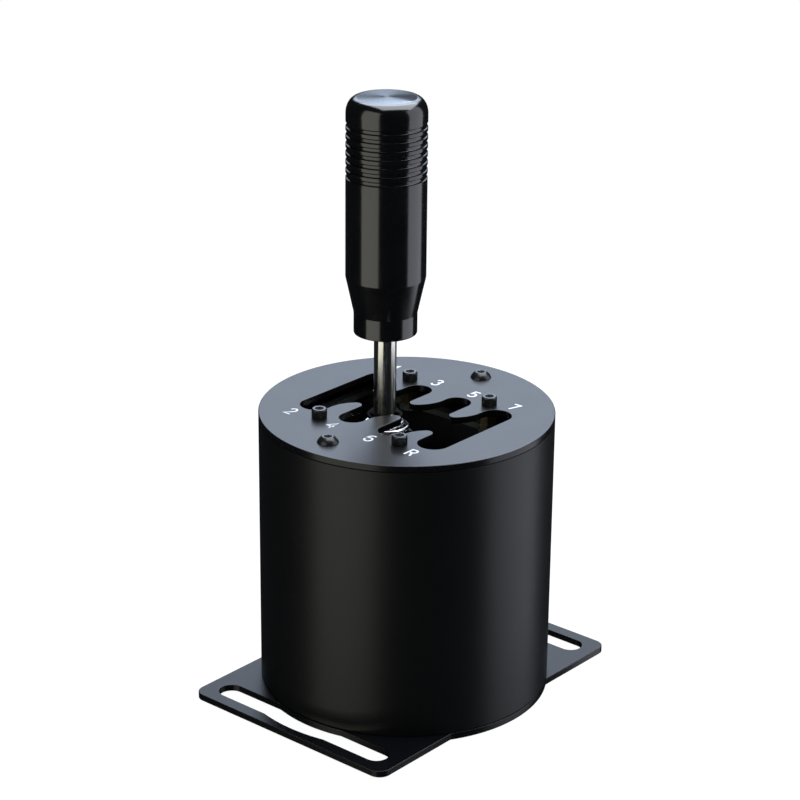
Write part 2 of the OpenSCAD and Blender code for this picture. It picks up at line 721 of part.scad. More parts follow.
board_screw_x = [board_x0 + 4, board_x0 + board_l - 4];
board_screw_y = board_w / 2 - 3.4;
module board_screw_places() {
    for (x = board_screw_x, y = [-1, 1]) translate([x, y * board_screw_y, 0]) children();
}
module main_board() {
    color(board_green) difference() {
        translate([board_x0, -board_w / 2, board_z]) cube([board_l, board_w, board_t]);
        translate([0, 0, board_z - cut]) board_screw_places()
            cylinder(d = board_hole_d, h = board_t + 2 * cut);
    }
}
module board_standoffs() {
    color(brass_tone) translate([0, 0, base_t]) board_screw_places() difference() {
        cylinder(d = standoff_d, h = board_gap);
        translate([0, 0, -cut]) cylinder(d = m3_d + 2 * tapped_gap, h = board_gap + 2 * cut);
    }
}
module board_screws() {
    color(black_metal) {
        board_screw_places() mirror([0, 0, 1]) difference() {
            countersunk(m3_d, csk_d_m3, csk_depth_m3, base_t + board_gap / 2 - 0.5);
            hex_socket(socket_m3, 0.9);
        }
        translate([0, 0, board_z + board_t]) board_screw_places() difference() {
            union() {
                cylinder(d = pan_head_d, h = pan_head_h);
                translate([0, 0, -board_t - board_gap / 2 + 0.5])
                    cylinder(d = m3_d, h = board_t + board_gap / 2);
            }
            translate([0, 0, pan_head_h]) hex_socket(socket_m3, 0.9);
        }
    }
}
module processor_chip() {
    color(black_metal) translate([board_x0 + 0.55 * board_l, 0, board_z + board_t]) {
        translate([-chip_w / 2, -chip_w / 2, 0.1]) cube([chip_w, chip_w, 1]);
        for (s = [0:3], i = [-3:3]) rotate(90 * s)
            translate([i - 0.2, -chip_w / 2 - 1, 0]) cube([0.4, 1.2, 0.3]);
    }
}
module usb_socket() {
    color(steel) translate([0.4 - tube_in_r, 0, socket_mid_z()]) rotate([90, 0, 90]) difference() {
        linear_extrude(socket_l) stadium(socket_w, socket_h);
        translate([0, 0, -cut]) linear_extrude(socket_l - 1 + cut) difference() {
            stadium(socket_w - 0.7, socket_h - 0.7);
            square([6.6, 0.7], center = true);
        }
    }
}
select_board_l = 38;
select_board_w = 14;
module sensor_places() {
    for (x = [-1, 1]) translate([lever_x + (select_board_l / 2 - 4) * x, gate_cy, pivot_z]) children();
}
sensor_gap = 1.2;
sensor_y = shaft_out + magnet_t + sensor_gap;
module sensor_standoffs() {
    color(brass_tone) sensor_places() {
        rod_y(cross_out, sensor_y, standoff_d);
        rod_y(cross_in + 1, cross_out, m3_d);
        rod_y(sensor_y, sensor_y + board_t, m3_d);
        rod_y(sensor_y + board_t, sensor_y + board_t + pan_head_h, pan_head_d);
    }
}
module select_sensor_board() {
    color(board_green) difference() {
        translate([lever_x - select_board_l / 2, gate_cy + sensor_y, pivot_z - select_board_w / 2])
            cube([select_board_l, board_t, select_board_w]);
        sensor_places() rod_y(sensor_y - cut, sensor_y + board_t + cut, board_hole_d);
    }
}

// Gimbal: ring, shafts, bushes and detent plates

module gimbal_ring() {
    color(plate_metal) at_pivot() difference() {
        translate([0, 0, -ring_h / 2]) linear_extrude(ring_h) difference() {
            round_rect(2 * ring_out_x, 2 * ring_out_y, 3);
            square([2 * ring_in_x, 2 * ring_in_y], center = true);
        }
        rod_x(-ring_out_x - cut, ring_out_x + cut, bush_d);
        rod_y(-ring_out_y - cut, ring_out_y + cut, shaft_d);
        rod_y(-ring_in_y - shaft_flange_t, ring_in_y + shaft_flange_t, shaft_d + 4);
        for (y = [-1, 1]) translate([0, y * detent_screw_y, 0])
            rod_x(-ring_out_x - cut, ring_out_x + cut, frame_hole_d);
        for (y = [-1, 1]) translate([0, y * post_foot_y, post_foot_z]) cylinder(d = post_d, h = ring_h);
    }
}
// Each moving spring post is an angled pin: its foot stands in the ring and its arm lies above the shaft.
post_foot_y = ring_out_y - post_d / 2 - 1;
post_foot_z = shaft_d / 2 + 1;
shaft_flange_t = 1;
module moving_post() {
    translate([0, post_foot_y, post_foot_z]) cylinder(d = post_d, h = post_high - post_foot_z);
    translate([0, post_foot_y, post_high]) sphere(d = post_d);
    translate([0, 0, post_high]) rod_y(post_foot_y, cross_in - pass_gap, post_d);
}
module moving_spring_posts() {
    color(steel) at_pivot() {
        moving_post();
        rear() moving_post();
    }
}
// Select shaft with a flange let into the inner face of the ring.
module select_shaft() {
    difference() {
        union() {
            rod_y(ring_in_y, shaft_out, shaft_d);
            rod_y(ring_in_y, ring_in_y + shaft_flange_t, shaft_d + 4);
        }
        translate([0, cross_out + clip_gap, 0]) along_y() difference() {
            cylinder(d = shaft_d + cut, h = clip_t);
            cylinder(d = shaft_d - 1, h = clip_t);
        }
    }
}
module select_shaft_front() { color(steel) at_pivot() select_shaft(); }
module select_shaft_rear() { color(steel) at_pivot() rear() select_shaft(); }

// Open snap ring standing on z = 0.
module circlip(shaft, t) {
    linear_extrude(t) difference() {
        circle(d = shaft + 3);
        circle(d = shaft - 1);
        translate([shaft, 0]) square([2 * shaft, shaft * 0.45], center = true);
    }
}
module select_circlips() {
    color(black_metal) at_pivot() {
        translate([0, cross_out + clip_gap, 0]) along_y() circlip(shaft_d, clip_t);
        rear() translate([0, cross_out + clip_gap, 0]) along_y() circlip(shaft_d, clip_t);
    }
}
module select_magnet() { color(steel) at_pivot() rod_y(shaft_out, shaft_out + magnet_t, magnet_d); }

module pivot_bush(sign) {
    at_pivot() rotate(sign > 0 ? 0 : 180) difference() {
        rod_x(ring_in_x, ring_out_x, bush_d);
        rod_x(ring_in_x - cut, ring_out_x + cut, shaft_d + 2 * run_gap);
    }
}
module pivot_bush_left() { color(brass_tone) pivot_bush(-1); }
module pivot_bush_right() { color(brass_tone) pivot_bush(1); }

// Detent plate: a sector with three round notches that stands on the side of the gimbal ring.
module detent_profile() {
    difference() {
        union() {
            intersection() {
                circle(detent_r, $fn = 120);
                translate([-detent_half, 0]) square([2 * detent_half, far]);
            }
            translate([-detent_half, -ring_h / 2]) square([2 * detent_half, ring_h / 2]);
        }
        for (i = [-1, 0, 1]) rotate(i * throw_deg)
            translate([0, detent_r - notch_depth + notch_r]) circle(notch_r);
        circle(d = shaft_d + 2 * pass_gap);
        for (y = [-1, 1]) translate([y * detent_screw_y, 0]) circle(d = m4_d + 2 * screw_gap);
        translate([0, (detent_r + ring_h / 2) / 2 - 0.5]) circle(d = 7);
    }
}
module detent_plate(sign) {
    at_pivot() translate([sign > 0 ? ring_out_x : -detent_out_x, 0, 0]) rotate([90, 0, 90])
        linear_extrude(detent_t) detent_profile();
}
module detent_plate_left() { color(steel) detent_plate(-1); }
module detent_plate_right() { color(steel) detent_plate(1); }
module detent_screws() {
    color(black_metal) at_pivot() for (x = [-1, 1], y = [-1, 1])
        translate([x * detent_out_x, y * detent_screw_y, 0]) rotate([0, 90 * x, 0]) difference() {
            union() {
                cylinder(d = cap_head_d, h = 2.2);
                translate([0, 0, -detent_t - ring_wall_x + 0.5])
                    cylinder(d = m4_d, h = detent_t + ring_wall_x);
            }
            translate([0, 0, 2.2]) hex_socket(socket_m4, 1.4);
        }
}
shift_board_x = pin_half + magnet_t + sensor_gap;
shift_board_w = 16;
shift_board_h = 14;
shift_board_low = 9.5;
shift_standoff_d = 4;
m2_d = 2;
module shift_board_places() {
    for (y = [-1, 1]) translate([0, y * (shift_board_w / 2 - 2.8), 2.5 - shift_board_low]) children();
}
module shift_sensor_standoffs() {
    color(brass_tone) at_pivot() shift_board_places() {
        rod_x(detent_out_x, shift_board_x, shift_standoff_d);
        rod_x(shift_board_x, shift_board_x + board_t, m2_d);
        rod_x(shift_board_x + board_t, shift_board_x + board_t + 1.2, shift_standoff_d - 0.4);
    }
}
module shift_sensor_board() {
    color(board_green) at_pivot() difference() {
        translate([shift_board_x, -shift_board_w / 2, -shift_board_low])
            cube([board_t, shift_board_w, shift_board_h]);
        shift_board_places() rod_x(shift_board_x - cut, shift_board_x + board_t + cut, m2_d + screw_gap);
    }
}

// Lever: rod, hub, pivot pin and the pieces on them

rod_low = shaft_d / 2 + 2;
rod_top = gate_top + grip_gap + grip_socket - pivot_z;
hub_low = -ring_h / 2 - 1;
hub_high = 18;
grub_d = 5;
grub_z = rod_low + 6;
module lever_rod() {
    color(steel) at_pivot() difference() {
        translate([0, 0, rod_low]) cylinder(d = lever_d, h = rod_top - rod_low);
        translate([0, 0, washer_low + washer_t + clip_gap]) difference() {
            cylinder(d = lever_d + cut, h = clip_t);
            cylinder(d = lever_d - 1, h = clip_t);
        }
    }
}
module lever_hub() {
    color(plate_metal) at_pivot() difference() {
        intersection() {
            translate([0, 0, hub_low]) rotate_extrude() polygon([
                [0, 0], [hub_d / 2 - 2, 0], [hub_d / 2, 2], [hub_d / 2, hub_high - hub_low - 3],
                [hub_d / 2 - 3, hub_high - hub_low], [0, hub_high - hub_low]]);
            cube([hub_w, 2 * hub_d, 4 * hub_high], center = true);
        }
        translate([0, 0, rod_low]) cylinder(d = lever_d, h = far);
        rod_x(-hub_w, hub_w, shaft_d);
        translate([0, 0, grub_z]) rod_y(0, hub_d, grub_d + 2 * tapped_gap);
        translate([0, 0, hub_low - cut]) cylinder(d = grub_d + 2 * tapped_gap, h = cut - hub_low);
    }
}
module hub_grub_screws() {
    color(black_metal) at_pivot() {
        translate([0, 0, grub_z]) difference() {
            rod_y(lever_d / 2, hub_d / 2 - 0.8, grub_d);
            translate([0, hub_d / 2 - 0.8, 0]) along_y() hex_socket(grub_d / 2, grub_d / 2);
        }
        translate([0, 0, hub_low + 0.5]) difference() {
            cylinder(d = grub_d, h = -hub_low - 0.5 - shaft_d / 2);
            mirror([0, 0, 1]) hex_socket(grub_d / 2, grub_d / 2);
        }
    }
}
module pivot_pin() {
    color(steel) at_pivot() difference() {
        rod_x(-pin_half, pin_half, shaft_d);
        for (x = [-1, 1]) translate([x * (detent_out_x + clip_gap + clip_t / 2) - clip_t / 2, 0, 0]) along_x()
            difference() {
                cylinder(d = shaft_d + cut, h = clip_t);
                cylinder(d = shaft_d - 1, h = clip_t);
            }
    }
}
module pivot_circlips() {
    color(black_metal) at_pivot() for (x = [-1, 1])
        translate([x * (detent_out_x + clip_gap + clip_t / 2) - clip_t / 2, 0, 0]) along_x()
            circlip(shaft_d, clip_t);
}
module shift_magnet() { color(steel) at_pivot() rod_x(pin_half, pin_half + magnet_t, magnet_d); }

module spring_washer() {
    color(black_metal) at_pivot() translate([0, 0, washer_low]) difference() {
        cylinder(d = washer_d, h = washer_t);
        translate([0, 0, -cut]) cylinder(d = lever_d + 2 * run_gap, h = washer_t + 2 * cut);
    }
}
module spring_circlip() {
    color(black_metal) at_pivot() translate([0, 0, washer_low + washer_t + clip_gap])
        circlip(lever_d, clip_t);
}

// Detent spring: a small closed coil under the washer that opens out to the large coils on the seat.
top_closed = 1.4;
flare_start = 0.25;
spring_hi = washer_low - stub - spring_wire * 0.3;
spring_lo = seat_top + stub + spring_wire * 0.3;
open_pitch = (spring_hi - spring_lo - closed_pitch * (top_closed + 1)) / (spring_turns - top_closed - 1);
function blend(a) = let (b = max(0, min(1, a))) b * b * (3 - 2 * b);
function coil_r(t) = spring_top_r + (spring_r - spring_top_r) * blend((t - flare_start) / spring_flare);
function coil_z(t) = spring_hi - closed_pitch * min(t, top_closed)
    - open_pitch * max(0, min(t, spring_turns - 1) - top_closed)
    - closed_pitch * max(0, t - spring_turns + 1);
coil_start = -80;
coil_steps = 8 * spring_turns;
detent_path = concat(
    [for (z = [washer_low, washer_low - stub * 0.9])
        [spring_top_r * cos(coil_start), spring_top_r * sin(coil_start), z]],
    [for (i = [0:coil_steps]) let (t = i / 8, a = coil_start + 45 * (i + 0.5))
        [coil_r(t) * cos(a), coil_r(t) * sin(a), coil_z(t)]],
    [for (z = [seat_top + stub * 0.9, seat_top]) let (a = coil_start + 45 * (coil_steps + 1))
        [spring_r * cos(a), spring_r * sin(a), z]]);
detent_sides = concat(
    [for (i = [0, 1]) [cos(coil_start), sin(coil_start), 0]],
    [for (i = [0:coil_steps]) let (a = coil_start + 45 * (i + 0.5)) [cos(a), sin(a), 0]],
    [for (i = [0, 1]) let (a = coil_start + 45 * (coil_steps + 1)) [cos(a), sin(a), 0]]);
module detent_spring() { color(steel) at_pivot() swept_wire(detent_path, detent_sides, spring_wire / 2); }
echo(detent_spring_least_gap = least_gap(detent_path, 5, spring_wire), open_pitch = open_pitch);

// Grip: one turned profile with a row of round-bottomed grooves

grip_z = gate_top + grip_gap;
insert_d = 16;
insert_h = 20;
module grip_profile() {
    r = grip_d / 2;
    top_r = grip_top_d / 2;
    shoulder = [for (a = [90:-9:0])
        [top_r + (r - top_r) * sin(a), grip_h - grip_shoulder_h + grip_shoulder_h * cos(a)]];
    difference() {
        polygon(concat(
            [[0, 0], [grip_collar_d / 2 - 0.5, 0], [grip_collar_d / 2, 0.5],
             [grip_collar_d / 2, grip_collar_h],
             [r, grip_collar_h + grip_cone_h]],
            shoulder, [[0, grip_h]]));
        for (i = [0:grip_grooves - 1])
            translate([r + groove_r * 0.1, grip_h - groove_drop - i * groove_pitch])
                circle(groove_r, $fn = 24);
    }
}
module grip() {
    color(black_metal) translate([lever_x, gate_cy, grip_z]) difference() {
        rotate_extrude($fn = 96) grip_profile();
        translate([0, 0, -cut]) cylinder(d = insert_d, h = insert_h + cut);
        cylinder(d = lever_d + 2 * run_gap, h = grip_socket + 1);
    }
}
module grip_insert() {
    color(brass_tone) translate([lever_x, gate_cy, grip_z + 0.5]) difference() {
        cylinder(d = insert_d, h = insert_h - 0.5);
        translate([0, 0, -cut]) cylinder(d = lever_d, h = insert_h + 2 * cut);
    }
}

// Detent carriage: a sleeve that slides on the lever, pressed down by the spring, with a roller on each side

module detent_carriage() {
    color(plate_metal) at_pivot() difference() {
        rotate_extrude() polygon([
            [0, carriage_low], [carriage_d / 2, carriage_low], [carriage_d / 2, seat_top - seat_t - 2],
            [carriage_d / 2 + 2, seat_top - seat_t], [seat_d / 2 - 0.5, seat_top - seat_t],
            [seat_d / 2, seat_top - seat_t + 0.5], [seat_d / 2, seat_top + 1],
            [seat_d / 2 - 0.9, seat_top + 1], [seat_d / 2 - 0.9, seat_top], [0, seat_top]]);
        cylinder(d = lever_d + 2 * run_gap, h = far);
        translate([0, 0, roller_s]) rod_x(-carriage_d, carriage_d, roller_pin_d);
    }
}
// The roller pin is in two halves, one in each side of the carriage, so that the lever passes between them.
module roller_pin() {
    color(steel) at_pivot() translate([0, 0, roller_s]) difference() {
        for (x = [-1, 1]) rod_x(x > 0 ? lever_d / 2 + 0.4 : -roller_pin_half,
            x > 0 ? roller_pin_half : -lever_d / 2 - 0.4, roller_pin_d);
        for (x = [-1, 1]) translate([x * roller_clip_x - clip_t / 2, 0, 0]) along_x() difference() {
            cylinder(d = roller_pin_d + cut, h = clip_t);
            cylinder(d = roller_pin_d - 1, h = clip_t);
        }
    }
}
roller_clip_x = roller_x + roller_w / 2 + clip_gap + clip_t / 2;
module roller_clips() {
    color(black_metal) at_pivot() translate([0, 0, roller_s]) for (x = [-1, 1])
        translate([x * roller_clip_x - clip_t / 2, 0, 0]) along_x() circlip(roller_pin_d, clip_t);
}
module detent_roller(sign) {
    at_pivot() translate([sign * roller_x, 0, roller_s]) difference() {
        rod_x(-roller_w / 2, roller_w / 2, roller_d);
        rod_x(-roller_w, roller_w, roller_pin_d + 2 * run_gap);
        for (x = [-1, 1]) translate([x * roller_w / 2, 0, 0]) rotate([0, 90 * x, 0])
            ring_groove((roller_d + roller_pin_d) / 4, 0.5, 0.4);
    }
}
module detent_roller_left() { color(steel) detent_roller(-1); }
module detent_roller_right() { color(steel) detent_roller(1); }

base_plate();
housing_tube();
gate_plate();
gate_cap_screws();
gate_button_screws();
tie_rods();
base_screws();
hex_spacers();
top_frame();
top_frame_screws();
front_plate();
rear_plate();
side_plate_left();
side_plate_right();
corner_posts();
side_screws();
cross_screws();
frame_foot_screws();
select_bearing_front();
select_bearing_rear();
spring_post_front();
spring_post_rear();
centring_spring_front();
centring_spring_rear();
main_board();
board_standoffs();
board_screws();
processor_chip();
usb_socket();
select_sensor_board();
sensor_standoffs();
gimbal_ring();
select_shaft_front();
select_shaft_rear();
moving_spring_posts();
select_circlips();
select_magnet();
pivot_bush_left();
pivot_bush_right();
detent_plate_left();
detent_plate_right();
detent_screws();
shift_sensor_board();
shift_sensor_standoffs();
lever_rod();
lever_hub();
hub_grub_screws();
pivot_pin();
pivot_circlips();
shift_magnet();
detent_spring();
spring_washer();
spring_circlip();
grip();
grip_insert();
detent_carriage();
roller_pin();
roller_clips();
detent_roller_left();
detent_roller_right();
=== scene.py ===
import json
import math

import bmesh
import bpy
from mathutils import Matrix, Vector
from mathutils.geometry import tessellate_polygon


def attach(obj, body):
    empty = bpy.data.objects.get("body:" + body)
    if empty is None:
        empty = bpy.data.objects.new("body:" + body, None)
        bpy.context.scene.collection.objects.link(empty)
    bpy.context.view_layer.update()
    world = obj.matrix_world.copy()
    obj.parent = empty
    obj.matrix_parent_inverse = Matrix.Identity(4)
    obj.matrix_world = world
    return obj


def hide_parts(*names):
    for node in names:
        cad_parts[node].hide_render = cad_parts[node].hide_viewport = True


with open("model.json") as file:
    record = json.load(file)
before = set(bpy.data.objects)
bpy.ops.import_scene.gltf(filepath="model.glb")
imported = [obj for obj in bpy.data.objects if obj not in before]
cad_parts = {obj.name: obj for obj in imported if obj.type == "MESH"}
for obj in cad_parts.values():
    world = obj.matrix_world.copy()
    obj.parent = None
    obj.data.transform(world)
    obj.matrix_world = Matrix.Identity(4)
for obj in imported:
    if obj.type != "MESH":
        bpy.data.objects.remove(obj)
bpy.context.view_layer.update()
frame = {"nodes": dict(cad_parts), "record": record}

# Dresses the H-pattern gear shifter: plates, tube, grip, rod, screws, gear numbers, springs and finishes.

MM = 0.001

# Sizes of the shifter in millimetres, the same as the solids have
BODY_R = 65.0
WALL = 4.0
BASE_T = 3.0
GATE_Z = 127.0
GATE_TOP = 130.0
GRIP_Z = 163.5
PIVOT_Z = 48.5
LEVER = (-11.35, -1.6)
GATE_CENTRE = (0.5, -1.6)
GATE_SCREW_MIDDLE = (0.9, -2.4)
GATE_SCREW_DX = 22.9
GATE_SCREW_DY = 30.3
GATE_SCREWS = [(GATE_SCREW_MIDDLE[0] + x, GATE_SCREW_MIDDLE[1] + y)
               for x in (-GATE_SCREW_DX, GATE_SCREW_DX) for y in (-GATE_SCREW_DY, GATE_SCREW_DY)]
TIE_RODS = [(0, -51.5), (0, 51.5)]
M3_HOLE_R = 1.75
M4_HOLE_R = 2.25
M5_HOLE_R = 2.75


# Materials

class Value:
    """A socket in a material or the world. Arithmetic on it adds Math nodes."""

    def __init__(self, nodes, socket):
        self.nodes = nodes
        self.socket = socket

    def __add__(self, other):
        return self.nodes.math("ADD", self, other)

    def __sub__(self, other):
        return self.nodes.math("SUBTRACT", self, other)

    def __rsub__(self, other):
        return self.nodes.math("SUBTRACT", other, self)

    def __mul__(self, other):
        return self.nodes.math("MULTIPLY", self, other)

    __radd__ = __add__
    __rmul__ = __mul__

    def between(self, low, high):
        """0 below low, 1 above high and a smooth rise between them."""
        return self.nodes.node(
            "ShaderNodeMapRange", {"interpolation_type": "SMOOTHSTEP"},
            {"Value": self, "From Min": low, "From Max": high})


class Nodes:
    """The nodes of one material or of the world."""

    def __init__(self, tree):
        self.tree = tree

    def node(self, kind, settings, inputs, output=0):
        """Adds a node: its settings first, then the values or links of its sockets."""
        node = self.tree.nodes.new(kind)
        for key, value in settings.items():
            setattr(node, key, value)
        for key, value in inputs.items():
            self.connect(node.inputs[key], value)
        return Value(self, node.outputs[output])

    def connect(self, socket, value):
        if isinstance(value, Value):
            value = value.socket
        if isinstance(value, bpy.types.NodeSocket):
            self.tree.links.new(value, socket)
        else:
            socket.default_value = value

    def math(self, operation, a, b):
        return self.node("ShaderNodeMath", {"operation": operation}, {0: a, 1: b})

    def mix(self, share, a, b):
        """A number that is a where the share is 0 and b where it is 1."""
        return self.node("ShaderNodeMix", {}, {0: share, 2: a, 3: b})

    def blend(self, share, colour_a, colour_b):
        """The same for colours."""
        return self.node("ShaderNodeMix", {"data_type": "RGBA"}, {0: share, 6: colour_a, 7: colour_b}, 2)

    def rays(self):
        """Two masks: 1 for rays from the camera, and 1 for rays off gloss or metal or through glass."""
        camera, gloss, glass = [self.node("ShaderNodeLightPath", {}, {}, f"Is {kind} Ray")
                                for kind in ("Camera", "Glossy", "Transmission")]
        return camera, self.math("MAXIMUM", gloss, glass)


class Finish(Nodes):
    """One material: a Principled shader and the nodes that feed it."""

    def __init__(self, name, **constants):
        self.material = bpy.data.materials.new(name)
        self.material.use_nodes = True
        super().__init__(self.material.node_tree)
        self.shader = self.tree.nodes["Principled BSDF"]
        for socket, value in constants.items():
            self.shader.inputs[socket.replace("_", " ")].default_value = value

    def stretched(self, x, y, z):
        """Object coordinates in millimetres, scaled along each axis."""
        place = self.node("ShaderNodeTexCoord", {}, {}, "Object")
        return self.node("ShaderNodeVectorMath", {"operation": "MULTIPLY"},
                         {0: place, 1: (x / MM, y / MM, z / MM)})

    def noise(self, size_mm, detail=2.0, roughness=0.5, place=None):
        """Noise whose grains are about size_mm across, unless its place is stretched."""
        return self.node("ShaderNodeTexNoise", {}, {
            "Vector": place or self.stretched(1, 1, 1), "Scale": 1 / size_mm,
            "Detail": detail, "Roughness": roughness})

    def feed(self, socket, value):
        self.connect(self.shader.inputs[socket], value)
        return self

    def bump(self, *layers):
        """Layers of (height, depth in millimetres), each on top of the one before."""
        normal = None
        for height, depth_mm in layers:
            inputs = {"Height": height, "Distance": depth_mm * MM, "Strength": 1.0}
            if normal:
                inputs["Normal"] = normal
            normal = self.node("ShaderNodeBump", {}, inputs)
        return self.feed("Normal", normal)


def blasted_plate(name, level):
    """Bead-blasted and anodised nearly black: a fine even grain and faint clouds."""
    f = Finish(name, Specular_IOR_Level=level)
    grain = f.noise(0.45, 3.0, 0.65)
    cloud = f.noise(14, 2.0)
    shade = grain.between(0.3, 0.7) * 0.75 + cloud * 0.25
    f.feed("Base Color", f.blend(shade, (0.0015, 0.0018, 0.0022, 1), (0.006, 0.007, 0.009, 1)))
    f.feed("Roughness", 0.24 + 0.12 * grain + 0.05 * cloud)
    return f.bump((grain, 0.035), (f.noise(1.1), 0.02))


def milled_edge():
    """The plates' edges and slot walls: milled smooth, with faint upright cutter marks."""
    f = Finish("milled_dark_anodised", Specular_IOR_Level=0.42)
    marks = f.noise(0.6, 2.0, 0.5, f.stretched(4, 4, 0.2))
    grain = f.noise(0.5, 2.0)
    f.feed("Base Color", f.blend(grain, (0.0015, 0.0015, 0.0017, 1), (0.004, 0.004, 0.0045, 1)))
    f.feed("Roughness", 0.18 + 0.06 * marks + 0.04 * grain)
    return f.bump((marks, 0.002))


def matt_tube():
    """Matt black anodised tube: a fine blasted grain and faint clouds."""
    f = Finish("matt_black_anodised", Specular_IOR_Level=0.42)
    grain = f.noise(0.45, 3.0, 0.6)
    cloud = f.noise(30, 3.0)
    shade = grain * 0.7 + cloud * 0.3
    f.feed("Base Color", f.blend(shade, (0.0015, 0.0015, 0.0016, 1), (0.004, 0.004, 0.0039, 1)))
    f.feed("Roughness", 0.28 + 0.08 * grain + 0.05 * cloud)
    return f.bump((grain, 0.02))


def gloss_grip():
    """Gloss black over a finely turned surface."""
    f = Finish("gloss_black_anodised", IOR=1.7, Specular_IOR_Level=0.55)
    lines = f.noise(0.5, 2.0, 0.5, f.stretched(0.05, 0.05, 6))
    wear = f.noise(9, 3.0)
    f.feed("Base Color", f.blend(wear, (0.0015, 0.0015, 0.0016, 1), (0.004, 0.004, 0.004, 1)))
    f.feed("Roughness", 0.1 + 0.06 * lines + 0.05 * wear)
    return f.bump((lines, 0.002))


def spun_top():
    """The grip's faced top: fine rings on a shallow cone, which gathers the light in a fan."""
    f = Finish("spun_grip_top", Metallic=0.9, Anisotropic=0.7, Anisotropic_Rotation=0.25)
    radius = f.node("ShaderNodeVectorMath", {"operation": "LENGTH"}, {0: f.stretched(1, 1, 0)}, 1)
    rings = f.node("ShaderNodeTexNoise", {"noise_dimensions": "1D"},
                   {"W": radius, "Scale": 3.0, "Detail": 3.0})
    f.feed("Base Color", f.blend(rings, (0.13, 0.147, 0.168, 1), (0.19, 0.21, 0.235, 1)))
    f.feed("Roughness", 0.24 + 0.1 * rings)
    return f.bump((rings * 0.008 - radius * 0.13, 1.0))


def ground_rod():
    """Ground stainless bar with faint grinding lines round it."""
    f = Finish("ground_stainless", Metallic=1.0, Anisotropic=0.9, Anisotropic_Rotation=0.25)
    lines = f.noise(0.5, 3.0, 0.6, f.stretched(0.04, 0.04, 8))
    stain = f.noise(6, 2.0)
    f.feed("Base Color", f.blend(stain, (0.88, 0.86, 0.79, 1), (0.95, 0.93, 0.87, 1)))
    f.feed("Roughness", 0.15 + 0.05 * lines)
    return f.bump((lines, 0.0005))


def worked_metal(name, low, high, rough, metallic=1.0, level=0.5):
    """Turned, milled or moulded surface: soft stains and a fine grain."""
    f = Finish(name, Metallic=metallic, Specular_IOR_Level=level)
    grain = f.noise(0.4, 3.0, 0.6)
    stain = f.noise(5, 2.0)
    f.feed("Base Color", f.blend(stain * 0.7 + grain * 0.3, low, high))
    f.feed("Roughness", rough + 0.14 * grain)
    return f.bump((grain, 0.006))


def solder_mask():
    """Green circuit board with faint tracks under the mask."""
    f = Finish("solder_mask", Specular_IOR_Level=0.5)
    tracks = f.node("ShaderNodeTexBrick", {},
                    {"Vector": f.stretched(1, 1, 1), "Scale": 0.4, "Mortar Size": 0.04}, "Fac")
    f.feed("Base Color", f.blend(tracks, (0.006, 0.05, 0.028, 1), (0.014, 0.1, 0.055, 1)))
    f.feed("Roughness", 0.3 + 0.1 * tracks)
    return f.bump((tracks, 0.03))


def number_paint():
    """White filling of the gear numbers."""
    f = Finish("white_number_paint", Specular_IOR_Level=0.4)
    fleck = f.noise(0.3, 2.0)
    f.feed("Base Color", f.blend(fleck, (0.78, 0.8, 0.82, 1), (0.9, 0.91, 0.92, 1)))
    f.feed("Roughness", 0.5 + 0.1 * fleck)
    return f.bump((fleck, 0.01))


FINISHES = {
    "dark_anodised": blasted_plate("blasted_gate_plate", 0.45),
    "black_anodised": matt_tube(),
    "gloss_black": gloss_grip(),
    "frame_plate": worked_metal(
        "dark_frame_plate", (0.006, 0.0066, 0.006, 1), (0.014, 0.015, 0.013, 1), 0.38,
        metallic=0.0, level=0.3),
    # The top frame is painted paler than the other frame plates. This painted highlight makes its top edge
    # show as the lit rail seen through the left slot.
    "frame_top": worked_metal(
        "top_frame_painted_highlight", (0.09, 0.095, 0.08, 1), (0.15, 0.156, 0.13, 1), 0.35,
        metallic=0.4),
    "black_steel": worked_metal(
        "black_oxide_steel", (0.005, 0.005, 0.0055, 1), (0.014, 0.014, 0.015, 1), 0.2,
        metallic=0.0, level=0.65),
    "dull_black": worked_metal(
        "phosphated_steel", (0.003, 0.003, 0.003, 1), (0.006, 0.006, 0.006, 1), 0.7,
        metallic=0.0, level=0.05),
    "steel": worked_metal("turned_steel", (0.42, 0.42, 0.43, 1), (0.56, 0.56, 0.57, 1), 0.24),
    "lever_steel": ground_rod(),
    "spring_steel": worked_metal("drawn_spring_wire", (0.7, 0.7, 0.71, 1), (0.85, 0.85, 0.85, 1), 0.1),
    "brass": worked_metal("turned_brass", (0.38, 0.3, 0.15, 1), (0.52, 0.42, 0.24, 1), 0.3),
    "bronze": worked_metal("sintered_bronze", (0.36, 0.24, 0.12, 1), (0.48, 0.33, 0.18, 1), 0.42),
    "board": solder_mask(),
    "chip": worked_metal(
        "chip_moulding", (0.012, 0.012, 0.012, 1), (0.03, 0.03, 0.03, 1), 0.5,
        metallic=0.0),
    "magnet": worked_metal("nickel_plate", (0.55, 0.54, 0.52, 1), (0.68, 0.67, 0.65, 1), 0.16),
}
BASE_FINISH = blasted_plate("blasted_base_plate", 0.2).material
MILLED_EDGE = milled_edge().material
# The sockets' paler colour is a painted glint of the light caught inside them.
SOCKET_PAINTED_GLINT = worked_metal(
    "socket_painted_glint", (0.07, 0.07, 0.072, 1), (0.16, 0.16, 0.165, 1), 0.35, metallic=0.3).material
SPUN_TOP = spun_top().material
NUMBER_PAINT = number_paint().material


# Mesh builders

def piece(name, mesh, slot, body, *replaced):
    """Adds a mesh with its slot's finish, ties it to its body and hides the nodes that it stands for."""
    obj = bpy.data.objects.new(name, mesh)
    bpy.context.scene.collection.objects.link(obj)
    mesh.materials.append(FINISHES[slot].material)
    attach(obj, body)
    if replaced:
        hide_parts(*replaced)
    return obj


